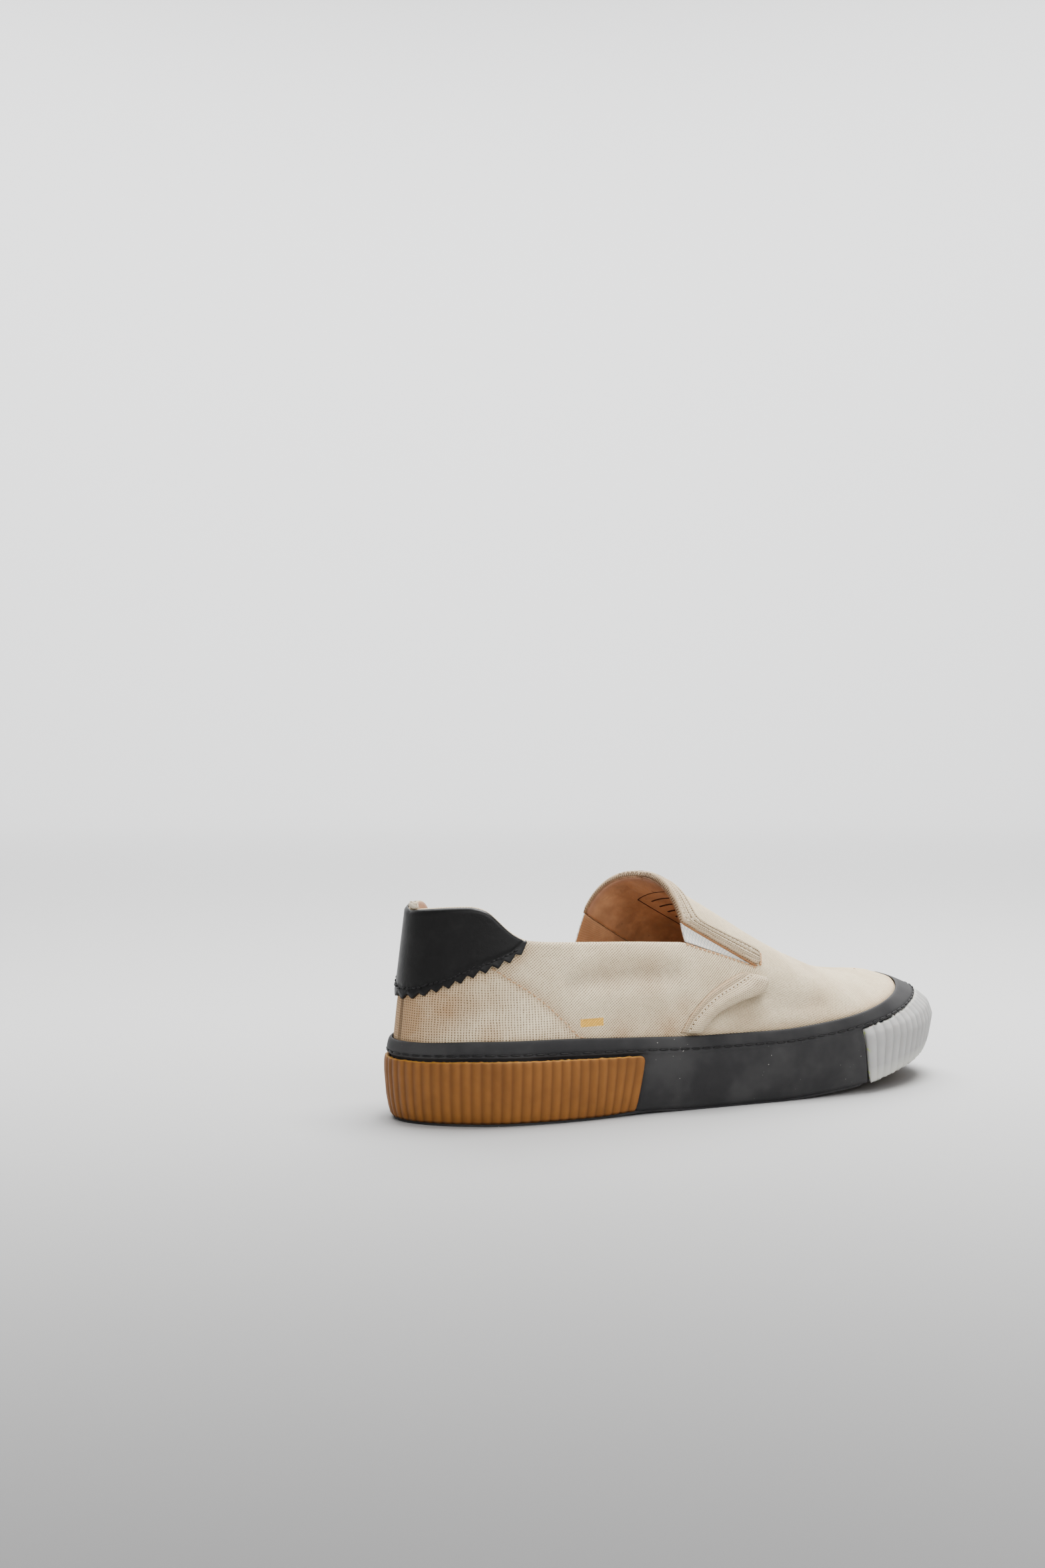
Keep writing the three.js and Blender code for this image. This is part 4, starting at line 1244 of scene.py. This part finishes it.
def makeSideBand(side, look):
    base, tops = [], []
    for i in range(look["steps"] + 1):
        at = 5 * i / look["steps"]
        end = softEdge(i / look["steps"], 0.10)
        rows = [j / look["rows"] for j in range(look["rows"] + 1)]
        reach = lerp(0.5, 1.0, end) if at < 1 else 1.0
        base.append([sideBandPoint(side, at, 0.5 + (share - 0.5) * reach) for share in rows])
        line = []
        for share in rows:
            full = (look["puff"] - 0.2) * softEdge(share, 0.2)
            puff = 0.2 + full * lerp(0.36, 1.0, smooth(share, 0.14, 0.6))
            puff -= 0.45 * math.exp(-(((share - look["stitched"]) / 0.06) ** 2))
            line.append(lerp(0.15, puff, end))
        tops.append(line)
    under = [[-0.15] * (look["rows"] + 1)] * len(base)
    return sleeve("sideBand_" + side, base, tops, under)


sideStitch = {"pitch": 2.2, "length": 1.5, "width": 0.5, "height": 0.25, "lift": 0.0, "twist": 10}
for side in ("lateral", "medial"):
    piece = makeSideBand(side, sideBandLook)
    spots = shoePoints(piece)
    rearLine = [sideBandPoint(side, 5 * i / 12, 0.0) for i in range(13)]
    # darker along the rear edge
    paintMask(piece, "stainAndShade", 0.4 * np.exp(-((nearness(spots, rearLine) / 2.2) ** 2)))
    frontLine = [sideBandPoint(side, 5 * i / 12, 1.0) for i in range(13)]
    paintMask(piece, "shade", 0.9 * np.exp(-((nearness(spots, frontLine) / 1.8) ** 2)))
    dress(piece, "canvas", bandCanvas, replaces=("side_band_" + side,))
    path = [sideBandPoint(side, 0.15 + 4.7 * i / 30, sideBandLook["stitched"]) for i in range(31)]
    path = [point + Vector((0, -3 if side == "lateral" else 3, 0)) for point in path]
    pieceTree = treeOf(piece)
    stitches("sideStitches_" + side, path, pieceTree, sideStitch, "canvas", creamThread)
    pinholes("sideHoles_" + side, path, pieceTree, sideStitch["pitch"], "canvas", 0.65)
print("stage: gores and bands")


# Seams of the quarters
seamStitch = {"pitch": 2.6, "length": 2.0, "width": 0.6, "height": 0.3, "lift": 0.1, "twist": 10}
goreStitch = {"pitch": 2.3, "length": 1.9, "width": 1.0, "height": 0.45, "lift": 0.12, "twist": 26}
for side in ("lateral", "medial"):
    path = [onUpper(side, x, z) for x, z in heelSeam]
    stitches("heelSeam_" + side, path, upperTree, seamStitch, "canvas", peachThread)
    path = []
    for i in range(13):
        q = gore["tip"] * i / 12
        path.append(upperPoint(side, q, atHeight(side, q, goreBottom(side, q) - 0.9)))
    stitches("goreSeam_" + side, path, upperTree, goreStitch, "canvas", peachThread)


# Leather heel tab with a pinked hem and a rolled top
tabLook = {
    "thickness": 1.3,
    "pitch": 4.8,
    "tooth": 2.3,
    "perTooth": 8,
    "rows": 22,
    "topDrop": 0.6,
    "stitchUp": 3.4,
}


def tabStations(look):
    def spot(turn):
        return upperPoint("medial" if turn < 0 else "lateral", abs(turn) - 1, 0.4)

    parts = 240
    turns = [lerp(-0.55, 0.55, i / parts) for i in range(parts + 1)]
    lengths = [0.0]
    for a, b in zip(turns, turns[1:]):
        lengths.append(lengths[-1] + (spot(b) - spot(a)).length)
    teeth = round(lengths[-1] / look["pitch"])
    steps = teeth * look["perTooth"]
    even = np.interp([lengths[-1] * i / steps for i in range(steps + 1)], lengths, turns)
    return [(i / look["perTooth"], float(turn)) for i, turn in enumerate(even)]


def hemHeight(turn):
    return curveAt(column(tabHem, 0), column(tabHem, 1), abs(turn) - 1)


def tabPoint(turn, height):
    side, q = ("medial" if turn < 0 else "lateral"), abs(turn) - 1
    return upperPoint(side, q, atHeight(side, q, height))


def makeTab(look):
    base, tops = [], []
    rows = look["rows"]
    for count, turn in tabStations(look):
        side, q = ("medial" if turn < 0 else "lateral"), abs(turn) - 1
        wave = abs((count + 0.5) % 1 - 0.5) * 2  # 0 at a tooth's tip, 1 at a notch
        hem = hemHeight(turn) + (0.5 - wave) * look["tooth"]
        top = max(collarHeight(side, q) - look["topDrop"], hem + 1)
        base.append([tabPoint(turn, lerp(hem, top, j / rows)) for j in range(rows + 1)])
        line = []
        for j in range(rows + 1):
            height = lerp(hem, top, j / rows)
            roll = math.sqrt(clamp01(1 - clamp01(1 - (top - height) / 1.6) ** 2))
            seam = math.exp(-(((height - hemHeight(turn) - look["stitchUp"]) / 0.7) ** 2))
            flare = 0.25 * smooth(hem + 3 - height, 0, 3)
            line.append(last["gap"] + look["thickness"] * lerp(0.25, 1, roll) - 0.45 * seam + flare)
        tops.append(line)
    return sleeve("heelTab", base, tops, [[0.15] * (rows + 1)] * len(base))


tab = dress(makeTab(tabLook), "black_leather", leather, replaces=("heel_tab",))
tabTree = treeOf(tab)
tabStitch = {"pitch": 2.2, "length": 2.1, "width": 0.95, "height": 0.5, "lift": 0.12, "twist": 16}
path = []
for turn in [lerp(-0.52, 0.52, i / 60) for i in range(61)]:
    side = "medial" if turn < 0 else "lateral"
    place = station(side, rowOf(side, abs(turn) - 1))
    path.append(tabPoint(turn, hemHeight(turn) + tabLook["stitchUp"]) + Vector((*place["outward"], 0)) * 3)
stitches("tabStitches", path, tabTree, tabStitch, "black_leather", blackThread)
foldPath = []
for i in range(9):  # the frayed fold of cloth that stands up over the back seam
    turn = lerp(-0.11, 0.062, i / 8)
    side = "medial" if turn < 0 else "lateral"
    place = station(side, rowOf(side, abs(turn) - 1))
    height = collarHeight(side, abs(turn) - 1)
    lift = 0.4 + 0.8 * math.sin(math.pi * i / 8)
    foldPath.append(tabPoint(turn, height) - Vector((*place["outward"], 0)) * 0.9 + Vector((0, 0, lift)))
fold = cord("heelFold", foldPath, 1.3, "canvas", creamThread, sides=12)
rough = shoePoints(fold)
rough += np.array([noise.noise_vector(Vector(point) / 0.8) for point in rough]) * 0.35
reshape(fold, rough)
fray = {"pitch": 0.35, "length": 2.4, "width": 0.2, "height": 0.1, "lift": 0.15, "twist": 180}
for number, height in enumerate((0.0, 1.2, 2.0)):
    path = [point + Vector((0, 0, height)) for point in foldPath]
    stitches("heelFray" + str(number), path, treeOf(fold), fray, "canvas", creamThread)
print("stage: heel tab")


# Rubber cup with foxing band, groove and lip
cupLook = {"step": 0.12, "seat": 2.6, "plain": 0.9, "seatStep": 0.02, "lift": 0.7, "core": 6.5, "hollow": 3.3}
bumperEnds = {"heel": 4.08, "toe": 7.75}  # in rows of the footprint
slantLook = {"heel": (14.0, 0.15, 16.0, 32.0), "toe": (9.0, -0.2, 18.0, 35.0)}  # reach, slope, middle, top
endX = {}
for end, row in bumperEnds.items():
    endX[end] = {side: station(side, row)["x"] for side in ("lateral", "medial")}


def slant(points):
    # the bumpers' ends lean, away from each other at the top, and the cup's seats with them
    for end, (reach, slope, height, top) in slantLook.items():
        goal = np.where(points[:, 1] < 0, endX[end]["lateral"], endX[end]["medial"])
        near = np.exp(-(((points[:, 0] - goal) / reach) ** 2))
        points[:, 0] += slope * (points[:, 2] - height) * near * np.clip((top - points[:, 2]) / 6, 0, 1)
    return points


def cupSection(spot, seat, look):
    core = blended(spot, wallFootInset) + look["core"]
    wallPoints = [wallPoint(spot, name, seat) for name in ("low", "belly", "round", "ledge")]
    rims = [wallPoint(spot, name) for name in ("bead", "groove", "band", "brim", "rim")]
    foot = footPoint(spot, seat, look["lift"])
    outer = [inset(spot, core, spot["ground"] + look["lift"]), foot] + wallPoints + rims
    outer.append(inset(spot, blended(spot, cupShoulder), lerp(spot["ground"], spot["rim"], cupShoulderUp)))
    for further in (0.0, 1.2, 3.0):
        outer.append(inset(spot, blended(spot, cupFloor) + further, spot["ground"] + spot["bed"]))
    return [inset(spot, core, spot["ground"] + look["hollow"])] + softened(outer, 0.45)


def makeCup(look):
    rows = list(np.arange(0, lastRow + 1e-6, look["step"]))
    heelEnd, toeEnd = bumperEnds["heel"], bumperEnds["toe"]
    rows += [heelEnd, heelEnd + look["seatStep"], toeEnd - look["seatStep"], toeEnd]
    rows = sorted({round(float(row), 4) for row in rows})
    ring = [("lateral", row) for row in rows] + [("medial", row) for row in rows[-2:0:-1]]
    points = []
    for side, row in ring:
        seated = row <= heelEnd or row >= toeEnd
        section = cupSection(station(side, row), look["seat"] if seated else look["plain"], look)
        points += section
    height = len(section)
    faces = gridFaces(len(ring), height, closedAcross=True)
    faces += capFaces([i * height for i in range(len(ring))])
    faces += [face[::-1] for face in capFaces([i * height + height - 1 for i in range(len(ring))])]
    made = meshObject("rubberCup", points, faces)
    tidyMesh(made)
    modify(made, "SUBSURF", levels=1, render_levels=1)
    reshape(made, slant(shoePoints(made)))
    activate(made)
    bpy.ops.object.shade_smooth()
    return made


cup = dress(makeCup(cupLook), "black_rubber", blackRubber, replaces=("cupsole",))
cupTree = treeOf(cup)
foxingStitch = {"pitch": 5.4, "length": 4.9, "width": 0.9, "height": 0.5, "lift": 0.12, "twist": 2}
rowSteps = [lastRow * i / 150 for i in range(151)]
ring = [("lateral", row) for row in rowSteps] + [("medial", row) for row in rowSteps[-2::-1]]
path = [wallPoint(station(side, row), "groove", -0.3) for side, row in ring]
stitches("foxingStitches", path, cupTree, foxingStitch, "black_rubber", blackThread)
print("stage: rubber cup")


# Ribbed bumpers
bumperLook = {
    "heel": {
        "pitch": 4.4,
        "depth": 0.75,
        "skew": 1.35,
        "perRib": 5,
        "jag": 0.2,
        "foot": 0.75,
        "cover": 0.0,
        "corner": 2.6,
        "over": 0.0,
    },
    "toe": {
        "pitch": 5.8,
        "depth": 0.9,
        "skew": 1.3,
        "perRib": 6,
        "jag": 0.55,
        "foot": 0.1,
        "cover": 0.9,
        "corner": 0.8,
        "over": 1.6,
    },
}
bumperBack = 2.3  # how deep the bumpers sit in the wall


def makeBumper(end, look):
    first, second = ("medial", "lateral") if end == "heel" else ("lateral", "medial")
    middleRow = 0 if end == "heel" else lastRow
    reach = abs(middleRow - bumperEnds[end]) - 0.02

    def spotAt(away):
        return station(first if away < 0 else second, abs(middleRow - abs(away)))

    fine = [lerp(-reach, reach, i / 300) for i in range(301)]
    places = [(spotAt(away)["x"], spotAt(away)["y"]) for away in fine]
    lengths = [0.0]
    for a, b in zip(places, places[1:]):
        lengths.append(lengths[-1] + math.dist(a, b))
    count = round(lengths[-1] / look["pitch"]) * look["perRib"]
    points, hollows, flashAndHighlights = [], [], []
    for i in range(count + 1):
        spot = spotAt(float(np.interp(lengths[-1] * i / count, lengths, fine)))
        phase = (i / look["perRib"]) % 1
        hollow = 1 - abs(math.sin(math.pi * phase ** look["skew"])) ** 0.7
        valley = look["depth"] * hollow
        names = ["low", "belly", "round"]
        top = wallPoint(spot, "ledge", valley * 0.4).lerp(wallPoint(spot, "round", valley * 0.4), 0.15)
        topIn = wallPoint(spot, "ledge", bumperBack).lerp(wallPoint(spot, "round", bumperBack), 0.15)
        fromEnd = min(i, count - i) * lengths[-1] / count
        corner = look["corner"] * (1 - math.sqrt(clamp01(1 - clamp01(1 - fromEnd / look["corner"]) ** 2)))
        up = look["over"] * (0.45 + 0.55 * smooth(spot["toe"], 0.1, 0.6))
        lap = Vector((0, 0, up * 0.6 - corner)) - Vector((*spot["outward"], 0)) * up
        outer = [footPoint(spot, valley - look["cover"], look["foot"])]
        outer += [wallPoint(spot, name, valley) for name in names] + [top + lap, topIn + lap]
        section = softened(outer, 0.35)
        inner = [wallPoint(spot, name, bumperBack) for name in names[::-1]]
        inner.append(footPoint(spot, bumperBack, look["foot"]))
        edge = len(section)
        points += section + inner
        hollows += [hollow] * (edge + len(inner))
        footFlash = 1.0 if end == "toe" else 0.0
        # edge mask: mould flash, with a painted highlight along the top
        flashAndHighlights += [footFlash] + [0.0] * (edge - 3) + [1.0] * 2 + [0.0] * len(inner)
    height = edge + len(inner)
    faces = gridFaces(count + 1, height, closedAlong=True)
    for start in (0, count * height):
        faces.append(tuple(range(start, start + height)))
    made = meshObject(end + "Bumper", points, faces)
    # the hollow mask carries painted shade into the rib hollows
    for name, values in (("hollow", hollows), ("flashAndHighlight", flashAndHighlights)):
        layer = made.data.attributes.new(name, "FLOAT", "POINT")
        layer.data.foreach_set("value", np.array(values, dtype=np.float32))
    tidyMesh(made)
    modify(made, "SUBSURF", levels=1, render_levels=1)
    spots = shoePoints(made)
    flashAndHighlight = np.empty(len(spots))
    made.data.attributes["flashAndHighlight"].data.foreach_get("value", flashAndHighlight)
    jag = np.array([noise.noise(Vector(point) / 1.6) for point in spots])
    spots[:, 2] += look["jag"] * flashAndHighlight * np.maximum(jag, -0.2) * 2
    seamX = np.abs(spots[:, 0] - endX[end]["lateral"])
    reshape(made, slant(spots))
    if end == "toe":
        paintMask(made, "seam", np.exp(-((seamX / 1.3) ** 2)) * (spots[:, 1] < 0))
    activate(made)
    bpy.ops.object.shade_smooth()
    return made


dress(makeBumper("heel", bumperLook["heel"]), "amber_rubber", amberRubber, replaces=("heel_bumper",))
dress(makeBumper("toe", bumperLook["toe"]), "white_rubber", whiteRubber, replaces=("toe_bumper",))
print("stage: bumpers")


# Tread plate with cross grooves
treadLook = {
    "step": 0.15,
    "inset": 1.7,
    "toeInset": 4.0,
    "edge": 1.2,
    "core": 3.0,
    "rim": 6.5,
    "groove": 1.6,
    "half": 0.055,
    "wall": 0.006,
}
grooveRows = (1.5, 2.1, 2.7, 6.1, 6.9, 7.7, 8.5, 9.3, 10.2)


def makeTread(look):
    rows = []
    for row in np.arange(0, lastRow + 1e-6, look["step"]):
        if min(abs(row - groove) for groove in grooveRows) > look["half"] + 0.02:
            rows.append((float(row), 0.0))
    for row in grooveRows:
        for offset in (-1, 1):
            rows.append((row + offset * (look["half"] + look["wall"]), 0.0))
            rows.append((row + offset * look["half"], look["groove"]))
    points = []
    for row, cut in sorted(rows):
        sides = []
        for side in ("lateral", "medial"):
            spot = station(side, row)
            rim, core, edge = look["rim"], look["core"], look["edge"]
            atToe = smooth(row, bumperEnds["toe"] - 0.1, bumperEnds["toe"] + 0.1)
            under = lerp(look["inset"], look["toeInset"], atToe)
            section = [(under, 0), (rim, 0), (rim + 0.3, cut)]
            section += [(rim + 0.9, core), (rim + 0.9, edge), (under, edge)]
            sides.append([footPoint(spot, away, height) for away, height in section])
        outer, inner = sides
        points += [inner[0], inner[1], inner[2], outer[2], outer[1], outer[0],
                   outer[5], outer[4], outer[3], inner[3], inner[4], inner[5]]
    faces = gridFaces(len(rows), 12, closedAlong=True)
    made = meshObject("treadPlate", points, faces)
    tidyMesh(made)
    bpy.ops.object.shade_smooth_by_angle(angle=math.radians(35))
    return made


dress(makeTread(treadLook), "black_rubber", blackRubber, replaces=("outsole",))


# Insole
insoleLook = {"thickness": 3.5}


def makeInsole(look):
    shares = [i / 40 - 1 for i in range(40)] + [i / 50 for i in range(51)]
    ring = [("lateral", q) for q in shares] + [("medial", q) for q in shares[-2:0:-1]]
    points, uvs = [], []
    for side, q in ring:
        spot = station(side, rowOf(side, q))
        away = blended(spot, cupFloor) + last["wall"] - 0.2 + 2 * spot["toe"]
        height = spot["ground"] + spot["bed"] + 0.6
        thick = look["thickness"]
        for further, up in ((0.8, 0), (0, 0.7), (0, thick - 0.9), (1.2, thick), (6, thick)):
            point = inset(spot, away + further, height + up)
            points.append(point)
            uvs.append((point.x * mm, point.y * mm))
    faces = gridFaces(len(ring), 5, closedAcross=True)
    faces += capFaces([i * 5 for i in range(len(ring))])
    faces += [face[::-1] for face in capFaces([i * 5 + 4 for i in range(len(ring))])]
    made = meshObject("footbed", points, faces, uvs)
    tidyMesh(made)
    return made


dress(makeInsole(insoleLook), "lining", lining, replaces=("insole",))
print("stage: tread and insole")


# Plain printed frame with bars on the lining of the vamp, placed where the camera sees it
labelLook = {
    "corner": (957, 1350),
    "topEnd": (995, 1338),
    "footEnd": (1030, 1393),
    "wide": 1.5,
    "line": 0.7,
    "barLine": 1.7,  # against the frame's line
    "bars": 5,
}
cameraFrame = (1568, 2353)


def seenInside(px, py):  # the point of the lining behind a place in the camera's frame
    wide, high = cameraFrame
    scale = cameraSetup["film"] / high
    towards = Vector(((px - wide / 2) * scale, (high / 2 - py) * scale, -cameraSetup["lens"]))
    direction = (camera.rotation_euler.to_matrix() @ towards).normalized()
    return upperTree.ray_cast(camera.location, direction)[0]


def inkStrip(name, start, end, wide):
    across = (end - start).cross(start - camera.location).normalized() * wide * mm / 2
    hollow = metres((118, middle(118), 50))
    base = []
    for i in range(13):
        row = []
        for j in (-1, 0, 1):
            towards = (start.lerp(end, i / 12) + across * j - hollow).normalized()
            row.append(upperTree.ray_cast(hollow, towards)[0] / mm - heelBack)
        base.append(row)
    return sleeve(name, base, [[0.05] * 3] * 13, [[-0.13] * 3] * 13)


def makeLabel(look):
    corner, top, foot = [seenInside(*look[name]) for name in ("corner", "topEnd", "footEnd")]
    wide, tall = (top - corner) * look["wide"], foot - corner
    lines = [(0, 0, 1, 0), (0, 0, 0, 1), (1, 0, 1, 1), (0, 1, 1, 1)]
    levels = [k / (look["bars"] + 1) for k in range(1, look["bars"] + 1)]
    lines += [(0.14, level, 0.86, level) for level in levels]
    strips = []
    for number, (a, b, c, d) in enumerate(lines):
        wideLine = look["line"] if number < 4 else look["line"] * look["barLine"]
        start, end = corner + wide * a + tall * b, corner + wide * c + tall * d
        strips.append(inkStrip("label" + str(number), start, end, wideLine))
    activate(*strips)
    bpy.ops.object.join()
    strips[0].name = "liningPrint"
    strips[0].data.name = "liningPrint"
    return strips[0]


dress(makeLabel(labelLook), "lining", ink)
print("stage: lining print")
